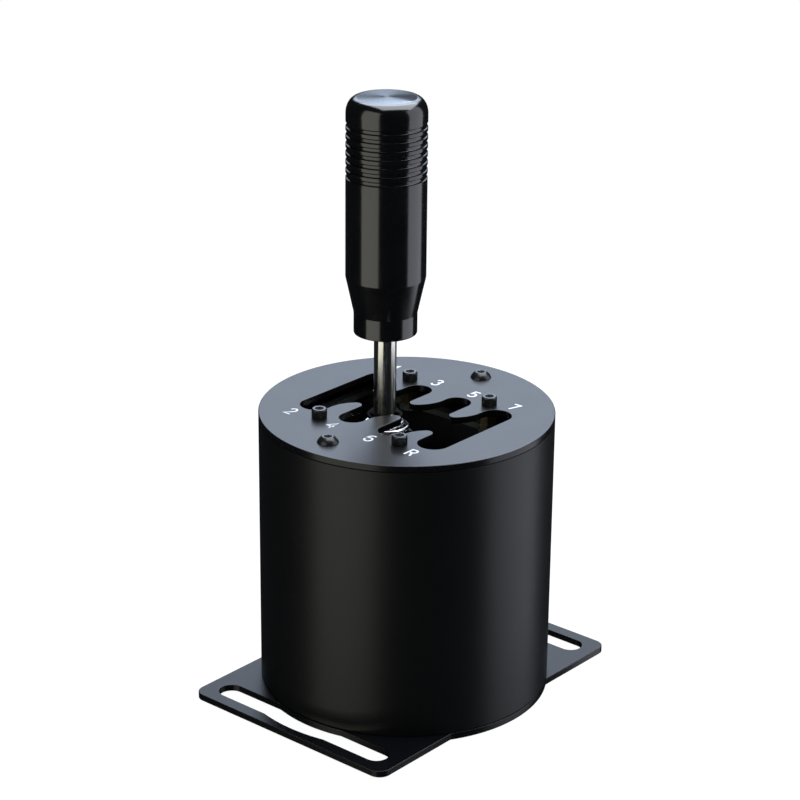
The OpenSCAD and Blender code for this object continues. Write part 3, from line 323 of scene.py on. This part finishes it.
def finish_mesh(bm, name, sharp_deg=35):
    """Joins doubled points, turns the faces outwards and shades smooth, but for edges over sharp_deg."""
    bmesh.ops.remove_doubles(bm, verts=bm.verts, dist=1e-7)
    bmesh.ops.recalc_face_normals(bm, faces=bm.faces)
    mesh = bpy.data.meshes.new(name)
    bm.to_mesh(mesh)
    bm.free()
    mesh.shade_smooth()
    mesh.set_sharp_from_angle(angle=math.radians(sharp_deg))
    return mesh


def weigh_normals(obj):
    """Keeps the broad flats flat where they run into small rounded edges."""
    modifier = obj.modifiers.new("flat_faces", "WEIGHTED_NORMAL")
    modifier.mode = "FACE_AREA"
    modifier.keep_sharp = True


def hexagon(across_flats):
    """Radius of a hexagon as a function of the angle."""
    def radius(angle):
        return across_flats / 2 / math.cos((angle % (math.pi / 3)) - math.pi / 6)
    return radius


def knurled(radius, depth, ribs):
    """Radius of a head with upright ribs as a function of the angle."""
    def rib(angle):
        return radius - depth * abs(math.sin(angle * ribs / 2))
    return rib


def add_turned(bm, rings, matrix=Matrix.Identity(4), steps=96):
    """Adds a closed turned form: rings of (radius or radius function, height).

    A radius of 0 makes a pole. Without poles the last ring joins the first.
    """
    made = []
    for radius, height in rings:
        if radius == 0:
            made.append([bm.verts.new(matrix @ Vector((0, 0, height * MM)))])
            continue
        ring = []
        for k in range(steps):
            angle = 2 * math.pi * k / steps
            r = (radius(angle) if callable(radius) else radius) * MM
            place = Vector((r * math.cos(angle), r * math.sin(angle), height * MM))
            ring.append(bm.verts.new(matrix @ place))
        made.append(ring)
    if len(made[0]) > 1 and len(made[-1]) > 1:
        made.append(made[0])
    for low, high in zip(made, made[1:]):
        for k in range(steps):
            after = (k + 1) % steps
            if len(low) == 1:
                bm.faces.new((low[0], high[after], high[k]))
            elif len(high) == 1:
                bm.faces.new((low[k], low[after], high[0]))
            else:
                bm.faces.new((low[k], low[after], high[after], high[k]))


def at(x, y, z):
    return Matrix.Translation((x * MM, y * MM, z * MM))


def arc(centre, radius, start, end, steps):
    """Points of an arc between two angles in degrees."""
    points = []
    for k in range(steps + 1):
        angle = math.radians(start + (end - start) * k / steps)
        points.append((centre[0] + radius * math.cos(angle), centre[1] + radius * math.sin(angle)))
    return points


def shifted(outline, depth):
    """The outline moved by depth along its normals, to the left of its direction."""
    sharpest = 0.3
    moved = []
    count = len(outline)
    for k, (x, y) in enumerate(outline):
        before, after = outline[k - 1], outline[(k + 1) % count]
        n1 = Vector((before[1] - y, x - before[0])).normalized()
        n2 = Vector((y - after[1], after[0] - x)).normalized()
        middle = n1 + n2
        middle = middle / max(middle.dot(n1), sharpest)
        moved.append((x + depth * middle[0], y + depth * middle[1]))
    return moved


def without_repeats(outline, closed=True):
    """The outline without points that lie on the one before."""
    nearest = 1e-4
    kept = []
    for point in outline:
        if not kept or math.dist(point, kept[-1]) > nearest:
            kept.append(point)
    if closed and math.dist(kept[0], kept[-1]) < nearest:
        kept.pop()
    return kept


def rounded_rows(low, high, edge):
    """Rows of (depth into the metal, height) up a wall whose two edges are rounded.

    One more row lies just past each rounding and keeps the shading of the wall flat.
    """
    levels = []
    for k in range(4):
        turn = math.radians(30 * k)
        levels.append((edge * (1 - math.sin(turn)), edge * (1 - math.cos(turn))))
    levels.append((0, edge + 0.05))
    rising = [(depth, low + rise) for depth, rise in levels]
    return rising + [(depth, high - rise) for depth, rise in reversed(levels)]


def countersunk_rows(hole_r, head_r, depth, high):
    """Rows up a hole that is countersunk from below, with a small chamfer at its top."""
    rim, chamfer = 0.3, 0.15
    return [(head_r - hole_r, 0), (head_r - hole_r, rim), (0, depth), (0, high - chamfer), (chamfer, high)]


def cut_plate(name, loops):
    """A plate from loops of (outline, rows). The first loop runs anticlockwise and the holes clockwise.

    Its flats take the first material and everything else the second.
    """
    bm = bmesh.new()
    ends = [[], []]
    for outline, rows in loops:
        outline = without_repeats(outline)
        rings = [[bm.verts.new((x * MM, y * MM, z * MM)) for x, y in shifted(outline, depth)]
                 for depth, z in rows]
        count = len(outline)
        for a, b in zip(rings, rings[1:]):
            for k in range(count):
                bm.faces.new((a[k], a[(k + 1) % count], b[(k + 1) % count], b[k]))
        ends[0].append(rings[0])
        ends[1].append(rings[-1])
    for rings in ends:
        flat = [vert for ring in rings for vert in ring]
        for corners in tessellate_polygon([[(v.co.x, v.co.y, 0) for v in ring] for ring in rings]):
            if len(set(corners)) == 3 and not bm.faces.get([flat[c] for c in corners]):
                bm.faces.new([flat[c] for c in corners])
    mesh = finish_mesh(bm, name)
    for face in mesh.polygons:
        flat = abs(face.normal.z) > 0.999
        face.use_smooth = not flat
        face.material_index = 0 if flat else 1
    return mesh


def wire(name, points, radius, slot, body, replaced):
    """A smooth round wire that follows the points, as one curve with closed ends."""
    curve = bpy.data.curves.new(name, "CURVE")
    curve.dimensions = "3D"
    curve.bevel_depth = radius * MM
    curve.bevel_resolution = 4
    curve.use_fill_caps = True
    spline = curve.splines.new("NURBS")
    spline.points.add(len(points) - 1)
    for target, (x, y, z) in zip(spline.points, points):
        target.co = (x * MM, y * MM, z * MM, 1)
    spline.order_u = 4
    spline.use_endpoint_u = True
    spline.resolution_u = 2
    spline.use_smooth = True
    return piece(name, curve, slot, body, replaced)


# Gate plate

COLUMNS = [(i - 1.5) * 22.5 for i in range(4)]
COLUMN_W = [14.0, 12.2, 12.2, 14.0]
REACH = 27.9
CHANNEL_HALF = 7.1
TIP_R = 2.8
SWEEP_R = 16.0
REVERSE_ROOM = 4.2


def finger_edge(i, drop):
    """From the left column's side round the finger's small tip and along its swept flank.

    The drop sets the tip back from the neutral channel.
    """
    tip = (COLUMNS[i] + COLUMN_W[i] / 2 + TIP_R, CHANNEL_HALF + drop + TIP_R)
    sweep_x = COLUMNS[i + 1] - COLUMN_W[i + 1] / 2 - SWEEP_R
    angle = math.degrees(math.acos((tip[0] - sweep_x) / (SWEEP_R - TIP_R)))
    sweep_y = tip[1] + (SWEEP_R - TIP_R) * math.sin(math.radians(angle))
    return arc(tip, TIP_R, 180, 360 - angle, 24) + arc((sweep_x, sweep_y), SWEEP_R, -angle, 0, 16)


def gate_half(drops):
    """One side of the gate's opening: four round column ends with a finger between each two."""
    points = []
    for i in range(4):
        radius = COLUMN_W[i] / 2
        points += arc((COLUMNS[i], REACH - radius), radius, 180, 0, 32)
        if i < 3:
            points += finger_edge(i, drops[i])
    return points


def gate_outline():
    """The whole opening, clockwise. Beside the reverse column the finger is set back."""
    half = gate_half([0, 0, 0]) + [(-x, -y) for x, y in gate_half([REVERSE_ROOM, 0, 0])]
    return [(x + GATE_CENTRE[0], y + GATE_CENTRE[1]) for x, y in half]


def round_hole(x, y, radius):
    return arc((x, y), radius, 0, -360, 40)[:-1]


def gate_plate():
    rim, gate_edge, hole_edge = 0.35, 0.2, 0.15
    loops = [(arc((0, 0), BODY_R, 0, 360, 256)[:-1], rounded_rows(GATE_Z, GATE_TOP, rim)),
             (gate_outline(), rounded_rows(GATE_Z, GATE_TOP, gate_edge))]
    for places, hole_r in ((GATE_SCREWS, M4_HOLE_R), (TIE_RODS, M5_HOLE_R)):
        for x, y in places:
            loops.append((round_hole(x, y, hole_r), rounded_rows(GATE_Z, GATE_TOP, hole_edge)))
    mesh = cut_plate("gate_plate_machined", loops)
    plate = piece("gate_plate_machined", mesh, "dark_anodised", "housing", "gate_plate")
    plate.data.materials.append(MILLED_EDGE)


# Base plate

def base_outline():
    """The housing's round at the sides and a wing with round corners in front and behind."""
    half_w, half_l, corner = 55.5, 80.0, 5.5
    meet = math.degrees(math.atan2(math.sqrt(BODY_R ** 2 - half_w ** 2), half_w))
    half = arc((0, 0), BODY_R, -meet, meet, 40)
    half += arc((half_w - corner, half_l - corner), corner, 0, 90, 12)
    half += arc((corner - half_w, half_l - corner), corner, 90, 180, 12)
    return half + [(-x, -y) for x, y in half]


def slot_outline(sign):
    """A wing's slot, clockwise: round ends, and a middle that bows out round the housing."""
    end_x, slot_y, half_w = 43.0, 68.5, 5.5
    tube_gap, bow_w = 0.5, 10.5
    inner_r, outer_r = BODY_R + tube_gap, BODY_R + tube_gap + bow_w
    inner = math.degrees(math.asin((slot_y - half_w) / inner_r))
    outer = math.degrees(math.asin((slot_y + half_w) / outer_r))
    points = arc((end_x, slot_y), half_w, 90, -90, 20)
    points += arc((0, 0), inner_r, inner, 180 - inner, 20)
    points += arc((-end_x, slot_y), half_w, 270, 90, 20)
    points += arc((0, 0), outer_r, 180 - outer, outer, 20)
    return [(sign * x, sign * y) for x, y in points]


def base_plate():
    foot_screws = [(x, GATE_CENTRE[1] + y) for x in (-28, 28) for y in (-32.5, 32.5)]
    board_screws = [(x, y) for x in (-55.31, -27.31) for y in (-8.6, 8.6)]
    rim, slot_edge = 0.25, 0.2
    loops = [(base_outline(), rounded_rows(0, BASE_T, rim)),
             (slot_outline(1), rounded_rows(0, BASE_T, slot_edge)),
             (slot_outline(-1), rounded_rows(0, BASE_T, slot_edge))]
    # Each countersink is as deep as its hole's radius
    for places, hole_r, head_r in (
            (TIE_RODS, M5_HOLE_R, 5.25), (foot_screws, M4_HOLE_R, 4.25), (board_screws, M3_HOLE_R, 3.05)):
        for x, y in places:
            loops.append((round_hole(x, y, hole_r), countersunk_rows(hole_r, head_r, hole_r, BASE_T)))
    mesh = cut_plate("base_plate_machined", loops)
    plate = piece("base_plate_machined", mesh, "dark_anodised", "housing", "base_plate")
    plate.data.materials[0] = BASE_FINISH
    plate.data.materials.append(MILLED_EDGE)


# Housing tube

def opening_cutter():
    """A bar with the cable opening's outline, through the tube's left wall."""
    half_w, half_h, middle, reach = 6.5, 4.0, 11.25, 8
    outline = arc((half_w - half_h, middle), half_h, -90, 90, 16)
    outline += arc((half_h - half_w, middle), half_h, 90, 270, 16)
    bm = bmesh.new()
    outer, inner = [[bm.verts.new((x * MM, y * MM, z * MM)) for y, z in outline]
                    for x in (-BODY_R - reach, reach - BODY_R)]
    for k in range(len(outline)):
        after = (k + 1) % len(outline)
        bm.faces.new((outer[k], outer[after], inner[after], inner[k]))
    bm.faces.new(outer)
    bm.faces.new(inner)
    return finish_mesh(bm, "cable_opening")


def housing_tube():
    """Turned tube with rounded outer edges and the cable opening cut through its wall."""
    bm = bmesh.new()
    low, high, inner, edge = BASE_T, GATE_Z, BODY_R - WALL, 0.6
    outside = [(BODY_R - depth, z) for depth, z in rounded_rows(low, high, edge)]
    add_turned(bm, [(inner, low)] + outside + [(inner, high)], steps=256)
    mesh = finish_mesh(bm, "housing_tube_turned")
    obj = piece("housing_tube_turned", mesh, "black_anodised", "housing", "housing_tube")
    cutter = bpy.data.objects.new("cable_opening", opening_cutter())
    bpy.context.scene.collection.objects.link(cutter)
    cut = obj.modifiers.new("cable_opening", "BOOLEAN")
    cut.operation = "DIFFERENCE"
    cut.object = cutter
    bpy.context.view_layer.update()
    mesh = bpy.data.meshes.new_from_object(obj.evaluated_get(bpy.context.evaluated_depsgraph_get()))
    obj.modifiers.clear()
    obj.data = mesh
    bpy.data.objects.remove(cutter)
    mesh.shade_smooth()
    mesh.set_sharp_from_angle(angle=math.radians(35))
    weigh_normals(obj)


# Screws in the gate plate

def paint_socket_glints(screws, places):
    """The hexagon sockets are painted paler than the heads, a painted glint of the light inside them: the
    faces near an axis and above the plate.
    """
    socket_r, rise = 1.72, 0.2
    screws.data.materials.append(SOCKET_PAINTED_GLINT)
    for face in screws.data.polygons:
        spot = (face.center.x / MM, face.center.y / MM)
        near = min(math.dist(spot, place) for place in places) < socket_r
        if near and face.center.z > (GATE_TOP + rise) * MM:
            face.material_index = 1


def gate_cap_screws():
    """Socket cap screws with knurled heads."""
    bm = bmesh.new()
    side = knurled(3.4, 0.14, 44)
    for x, y in GATE_SCREWS:
        add_turned(bm, [
            (0, -13.5), (2, -13.5), (2, 0), (3.2, 0), (side, 0.25), (side, 3.3), (3.3, 3.5), (3.12, 3.82),
            (2.9, 4), (1.98, 4), (1.9, 3.93), (hexagon(3.1), 3.55), (hexagon(3), 3.4), (hexagon(3), 1.9),
            (0, 1.5)], at(x, y, GATE_TOP), 132)
    mesh = finish_mesh(bm, "gate_cap_screws_knurled", 30)
    screws = piece("gate_cap_screws_knurled", mesh, "black_steel", "housing", "gate_cap_screws")
    paint_socket_glints(screws, GATE_SCREWS)


def gate_button_screws():
    """Button-head screws: a domed head with a small flat round the socket."""
    head_r, head_h, flat_r = 4.75, 2.75, 2.45
    dome_z = (flat_r ** 2 + head_h ** 2 - head_r ** 2) / (2 * head_h)
    dome_r = math.hypot(head_r, dome_z)
    start_r = head_r - 0.05
    dome = []
    for k in range(11):
        r = start_r - (start_r - flat_r) * k / 10
        dome.append((r, dome_z + math.sqrt(dome_r ** 2 - r ** 2)))
    bm = bmesh.new()
    for x, y in TIE_RODS:
        add_turned(bm, [(0, -16), (2.5, -16), (2.5, 0), (head_r - 0.2, 0)] + dome + [
            (1.85, head_h), (1.76, head_h - 0.06), (hexagon(3.05), 2.45), (hexagon(3), 2.3),
            (hexagon(3), 0.9), (0, 0.5)], at(x, y, GATE_TOP), 96)
    mesh = finish_mesh(bm, "gate_button_screws_domed", 30)
    screws = piece("gate_button_screws_domed", mesh, "black_steel", "housing", "gate_button_screws")
    paint_socket_glints(screws, TIE_RODS)


# Gear numbers

# Each number's strokes in a box from -0.5 to 0.5 high
NUMBER_STROKES = {
    "1": [[(-0.2, 0.3), (0.02, 0.5), (0.02, -0.5)]],
    "2": [arc((0, 0.22), 0.28, 170, -30, 12) + [(-0.3, -0.48), (0.32, -0.48)]],
    "3": [arc((-0.02, 0.24), 0.26, 160, -80, 12), arc((-0.02, -0.22), 0.29, 85, -160, 14)],
    "4": [[(0.14, -0.5), (0.14, 0.5), (-0.32, -0.2), (0.34, -0.2)]],
    "5": [[(0.28, 0.48), (-0.2, 0.48), (-0.26, 0.05)] + arc((-0.01, -0.18), 0.31, 130, -155, 14)],
    "6": [[(0.2, 0.44)] + arc((0.06, 0.1), 0.38, 95, 180, 8) + arc((0, -0.2), 0.3, 180, 540, 24)],
    "7": [[(-0.3, 0.48), (0.3, 0.48), (-0.06, -0.5)]],
    "R": [[(-0.26, -0.5), (-0.26, 0.48), (0.08, 0.48)] + arc((0.08, 0.24), 0.24, 90, -90, 10)
          + [(-0.26, 0.0)], [(0.06, 0.0), (0.3, -0.5)]],
}
NUMBER_PLACES = {
    "1": (-36, 34.5), "3": (-10, 33), "5": (11.2, 32.7), "7": (33.8, 32.7),
    "2": (-35.5, -36), "4": (-11.4, -36), "6": (10.7, -36.5), "R": (33.8, -36.7)}


def gear_numbers():
    """Painted strokes of one width, a hair proud of the plate, each a little above the one it crosses."""
    height, width, stroke, proud, layer = 6.3, 5.55, 0.95, 0.03, 0.004
    bm = bmesh.new()
    for name, (cx, cy) in NUMBER_PLACES.items():
        for k, path in enumerate(NUMBER_STROKES[name]):
            path = [Vector((cx + x * width, cy + y * height)) for x, y in without_repeats(path, False)]
            lay_stroke(bm, path, stroke / 2, GATE_TOP + proud + layer * k)
    bmesh.ops.recalc_face_normals(bm, faces=bm.faces)
    mesh = bpy.data.meshes.new("gear_numbers")
    bm.to_mesh(mesh)
    bm.free()
    obj = piece("gear_numbers", mesh, "dark_anodised", "housing")
    obj.data.materials[0] = NUMBER_PAINT


def lay_stroke(bm, path, half, top):
    """A thin closed bar along the path, with mitred corners and square ends, let into the plate."""
    bottom = GATE_TOP - 0.02
    across = []
    for a, b in zip(path, path[1:]):
        along = (b - a).normalized()
        across.append(Vector((-along.y, along.x)))
    across = [across[0]] + across + [across[-1]]
    sections = []
    for point, n1, n2 in zip(path, across, across[1:]):
        reach = half * (n1 + n2) / max(1 + n1.dot(n2), 0.6)
        left, right = point + reach, point - reach
        corners = [(left, top), (right, top), (right, bottom), (left, bottom)]
        sections.append([bm.verts.new((p.x * MM, p.y * MM, z * MM)) for p, z in corners])
    for a, b in zip(sections, sections[1:]):
        for k in range(4):
            bm.faces.new((a[k], a[(k + 1) % 4], b[(k + 1) % 4], b[k]))
    bm.faces.new(sections[0])
    bm.faces.new(sections[-1])


# Lever rod and grip

def lever_rod():
    """Ground bar with a groove for the snap ring."""
    low, high, r, chamfer = PIVOT_Z + 6, GRIP_Z + 40, 5, 0.4
    groove_r, groove_low, groove_w = 4.5, PIVOT_Z + 76.9, 1
    bm = bmesh.new()
    add_turned(bm, [
        (0, low), (r - chamfer, low), (r, low + chamfer), (r, groove_low), (groove_r, groove_low),
        (groove_r, groove_low + groove_w), (r, groove_low + groove_w), (r, high - chamfer),
        (r - chamfer, high), (0, high)], at(*LEVER, 0), 96)
    piece("lever_rod_ground", finish_mesh(bm, "lever_rod_ground"), "lever_steel", "lever", "lever_rod")


def grip():
    """Turned from one bar: collar, cone, long body with seven grooves, rounded shoulder, crowned top."""
    r, top_r, h, shoulder, crown = 17.5, 12.8, 105.0, 7.0, 0.3
    grooves, drop, pitch = 7, 11.6, 3.7
    # Half of one groove, from its rim to its floor, as (depth, distance from its middle)
    groove = [(0, 1.22), (0.05, 1.08), (0.3, 0.96), (0.6, 0.84), (0.8, 0.66), (0.85, 0.45), (0.85, 0.2)]
    profile = [(0, 0.5), (5.05, 0.5), (5.05, 0), (13.4, 0), (13.75, 0.15), (13.9, 0.5), (13.9, 9.25),
               (13.95, 9.5), (r - 0.07, 25.5), (r, 25.9)]
    for k in reversed(range(grooves)):
        middle = h - drop - k * pitch
        profile += [(r - depth, middle - away) for depth, away in groove]
        profile += [(r - depth, middle + away) for depth, away in reversed(groove)]
    for step in range(13):
        angle = math.radians(90 * step / 12)
        rise = (shoulder - crown) * math.sin(angle)
        profile.append((top_r + (r - top_r) * math.cos(angle), h - shoulder + rise))
    profile.append((0, h))
    bm = bmesh.new()
    add_turned(bm, profile, at(*LEVER, GRIP_Z), 192)
    obj = piece("grip_turned", finish_mesh(bm, "grip_turned", 40), "gloss_black", "lever", "grip")
    obj.data.materials.append(SPUN_TOP)
    for face in obj.data.polygons:
        if face.normal.z > 0.98 and face.center.z > (GRIP_Z + h - crown) * MM:
            face.material_index = 1
    weigh_normals(obj)


# Springs

# The detent spring: heights above the pivot, radii to the middle of the wire, turns and pitches
SPRING_LOW = 51.5
SPRING_HIGH = 75.5
SPRING_END_RISE = 2.08
SPRING_R = 12.2
SPRING_TOP_R = 7.9
SPRING_TURNS = 6
SPRING_START = -80
CLOSED_PITCH = 2.1
TOP_CLOSED = 1.4
POINTS_PER_TURN = 32


def smooth_share(share):
    """A rise from 0 to 1 that is flat at both ends."""
    share = max(0.0, min(1.0, share))
    return share * share * (3 - 2 * share)


def about_pivot(r, degrees, z):
    """A point round the lever at a height above the pivot."""
    a = math.radians(degrees)
    return (LEVER[0] + r * math.cos(a), LEVER[1] + r * math.sin(a), PIVOT_Z + z)


def detent_spring():
    """A small closed coil under the washer that opens out to the large coils on the seat."""
    wire_r, bend, flare_start, flare = 0.88, 22.5, 0.25, 2
    top = SPRING_HIGH - SPRING_END_RISE
    bottom = SPRING_LOW + SPRING_END_RISE
    open_pitch = (top - bottom - CLOSED_PITCH * (TOP_CLOSED + 1)) / (SPRING_TURNS - TOP_CLOSED - 1)
    end = SPRING_START + 360 * SPRING_TURNS + 2 * bend
    points = [about_pivot(SPRING_TOP_R, SPRING_START, SPRING_HIGH - drop) for drop in (0, 0.9, 1.6)]
    for i in range(POINTS_PER_TURN * SPRING_TURNS + 1):
        t = i / POINTS_PER_TURN
        closed_turns = min(t, TOP_CLOSED) + max(0, t - SPRING_TURNS + 1)
        open_turns = max(0, min(t, SPRING_TURNS - 1) - TOP_CLOSED)
        z = top - CLOSED_PITCH * closed_turns - open_pitch * open_turns
        r = SPRING_TOP_R + (SPRING_R - SPRING_TOP_R) * smooth_share((t - flare_start) / flare)
        points.append(about_pivot(r, SPRING_START + bend + 360 * t, z))
    points += [about_pivot(SPRING_R, end, SPRING_LOW + rise) for rise in (1.6, 0.9, 0)]
    wire("detent_spring_wound", points, wire_r, "spring_steel", "lever", "detent_spring")


def centring_spring(side, node):
    """Two upright legs beside the posts and a coil between them round the select shaft.

    Sizes are from the pivot, and a side of 1 is the one away from the driver.
    """
    leg_x, leg_top, post_high, post_low, r = 2.8, 21.2, 17.7, 12.5, 8.0
    y0, length, turns, wire_d = 21.51, 6.475, 3.5, 1.4
    legs = [(leg_x, leg_top), (leg_x, leg_top - wire_d), (leg_x, post_high), (leg_x, post_low - 0.5),
            ((leg_x + r) / 2, post_low - 4.5), (r, post_low - 8)]
    path = [(-x, y0, z) for x, z in legs]
    steps = int(POINTS_PER_TURN * turns)
    for i in range(steps + 1):
        a = math.radians(180 + 360 * i / POINTS_PER_TURN)
        path.append((r * math.cos(a), y0 + length * i / steps, r * math.sin(a)))
    path += [(x, y0 + length, z) for x, z in reversed(legs)]
    points = [(LEVER[0] + x, LEVER[1] + side * y, PIVOT_Z + z) for x, y, z in path]
    wire(node + "_wound", points, wire_d / 2, "steel", "housing", node)


gate_plate()
base_plate()
housing_tube()
gate_cap_screws()
gate_button_screws()
gear_numbers()
lever_rod()
grip()
detent_spring()
centring_spring(1, "centring_spring_front")
centring_spring(-1, "centring_spring_rear")


# Every solid that shows keeps its shape and gets its slot's finish, or its own where it looks different

OWN_FINISH = {"spring_washer": "dull_black", "spring_circlip": "dull_black", "top_frame": "frame_top"}

for part in frame["record"]["subparts"]:
    finish = FINISHES[OWN_FINISH.get(part["node"], part["material_slot"])]
    materials = frame["nodes"][part["node"]].data.materials
    materials.clear()
    materials.append(finish.material)


# Floor, light and camera

# The photograph's camera, in metres and degrees, solved from the outlines of the two plates
CAMERA_PLACE = (0.6585, -0.7772, 0.5358)
CAMERA_FORWARD = (-0.60345576, 0.70794399, -0.36695564)
CAMERA_AZIMUTH = 40.276
CAMERA_ROLL = 0.53858
CAMERA_LENS_MM = 112.72
# Direction from the object to the bright wall behind it
BEHIND = (-0.562, 0.66, 0.5)


def backdrop():
    """White to the camera. Reflections see a bright bluish wall behind the object and dark round it."""
    world = bpy.data.worlds.new("studio")
    bpy.context.scene.world = world
    world.use_nodes = True
    studio = Nodes(world.node_tree)
    camera_ray, mirrored = studio.rays()
    direction = studio.node("ShaderNodeTexCoord", {}, {}, "Generated")
    height = studio.node("ShaderNodeSeparateXYZ", {}, {0: direction}, "Z")
    behind = studio.node("ShaderNodeVectorMath", {"operation": "DOT_PRODUCT"},
                         {0: direction, 1: BEHIND}, "Value")
    wall_strength, dark_strength, even_strength = 3.2, 0.015, 0.25
    wall = height.between(0.16, 0.34) * behind.between(0.91, 0.975) * wall_strength + dark_strength
    strength = studio.mix(camera_ray, studio.mix(mirrored, even_strength, wall), 1.0)
    colour = studio.blend(camera_ray, (0.7, 0.81, 1, 1), (1, 1, 1, 1))
    background = world.node_tree.nodes["Background"]
    studio.connect(background.inputs["Color"], colour)
    studio.connect(background.inputs["Strength"], strength)


def floor():
    """Pale floor with the object's soft shadow. The side boxes reach below it and light through it."""
    bm = bmesh.new()
    bmesh.ops.create_circle(bm, cap_ends=True, radius=0.55, segments=128)
    mesh = bpy.data.meshes.new("studio_floor")
    bm.to_mesh(mesh)
    bm.free()
    obj = bpy.data.objects.new("studio_floor", mesh)
    bpy.context.scene.collection.objects.link(obj)
    gap = 0.2
    obj.location.z = -gap * MM
    obj.visible_glossy = False
    obj.visible_shadow = False
    # What is seen of it is this share of white light and the rest of shaded paint
    white_share, white_strength = 0.88, 1.08
    paint = Finish("studio_floor", Base_Color=(0.8, 0.8, 0.8, 1), Roughness=0.9, Specular_IOR_Level=0.0)
    white = paint.node("ShaderNodeEmission", {}, {"Strength": white_strength})
    camera_ray, mirrored = paint.rays()
    share = paint.math("MAXIMUM", camera_ray, mirrored) * white_share
    mix = paint.node("ShaderNodeMixShader", {}, {0: share, 1: paint.shader.outputs[0], 2: white})
    paint.connect(paint.tree.nodes["Material Output"].inputs["Surface"], mix)
    mesh.materials.append(paint.material)


def softbox(name, swing, distance, height, size, radiance, colour, hung_at=None):
    """A rectangular area light, swing degrees round the object from the camera to the picture's right.

    It stands upright and faces the object, or hangs level, turned by hung_at degrees.
    """
    angle = math.radians(CAMERA_AZIMUTH + swing)
    spot = Vector((math.sin(angle) * distance, -math.cos(angle) * distance, height))
    light = bpy.data.lights.new(name, "AREA")
    light.shape = "RECTANGLE"
    light.size, light.size_y = size
    light.energy = radiance * math.pi * size[0] * size[1]
    light.color = colour
    obj = bpy.data.objects.new(name, light)
    bpy.context.scene.collection.objects.link(obj)
    obj.location = spot
    if hung_at is None:
        obj.rotation_euler = (Vector((0, 0, height)) - spot).to_track_quat("-Z", "Y").to_euler()
    else:
        obj.rotation_euler = (0, 0, math.radians(hung_at))


def lights():
    softbox("overhead_box", swing=149.5, distance=0.587, height=1.2, size=(1.4, 1.6), radiance=4.5,
            colour=(0.88, 0.93, 1), hung_at=55)
    softbox("left_box", swing=-47, distance=1.0, height=0.3, size=(0.97, 1.64), radiance=1.0,
            colour=(1, 0.99, 0.88))
    softbox("right_box", swing=91.5, distance=1.0, height=0.3, size=(0.99, 1.64), radiance=1.25,
            colour=(0.88, 0.91, 1))


def camera():
    data = bpy.data.cameras.new("photo_view")
    data.sensor_width = 36
    data.lens = CAMERA_LENS_MM
    obj = bpy.data.objects.new("photo_view", data)
    bpy.context.scene.collection.objects.link(obj)
    forward = Vector(CAMERA_FORWARD).normalized()
    right = forward.cross(Vector((0, 0, 1))).normalized()
    up = right.cross(forward)
    roll = math.radians(CAMERA_ROLL)
    x = math.cos(roll) * right + math.sin(roll) * up
    y = math.cos(roll) * up - math.sin(roll) * right
    turn = Matrix((x, y, -forward)).transposed()
    obj.matrix_world = Matrix.Translation(CAMERA_PLACE) @ turn.to_4x4()
    bpy.context.scene.camera = obj


backdrop()
floor()
lights()
camera()
bpy.context.scene.view_settings.view_transform = "Standard"
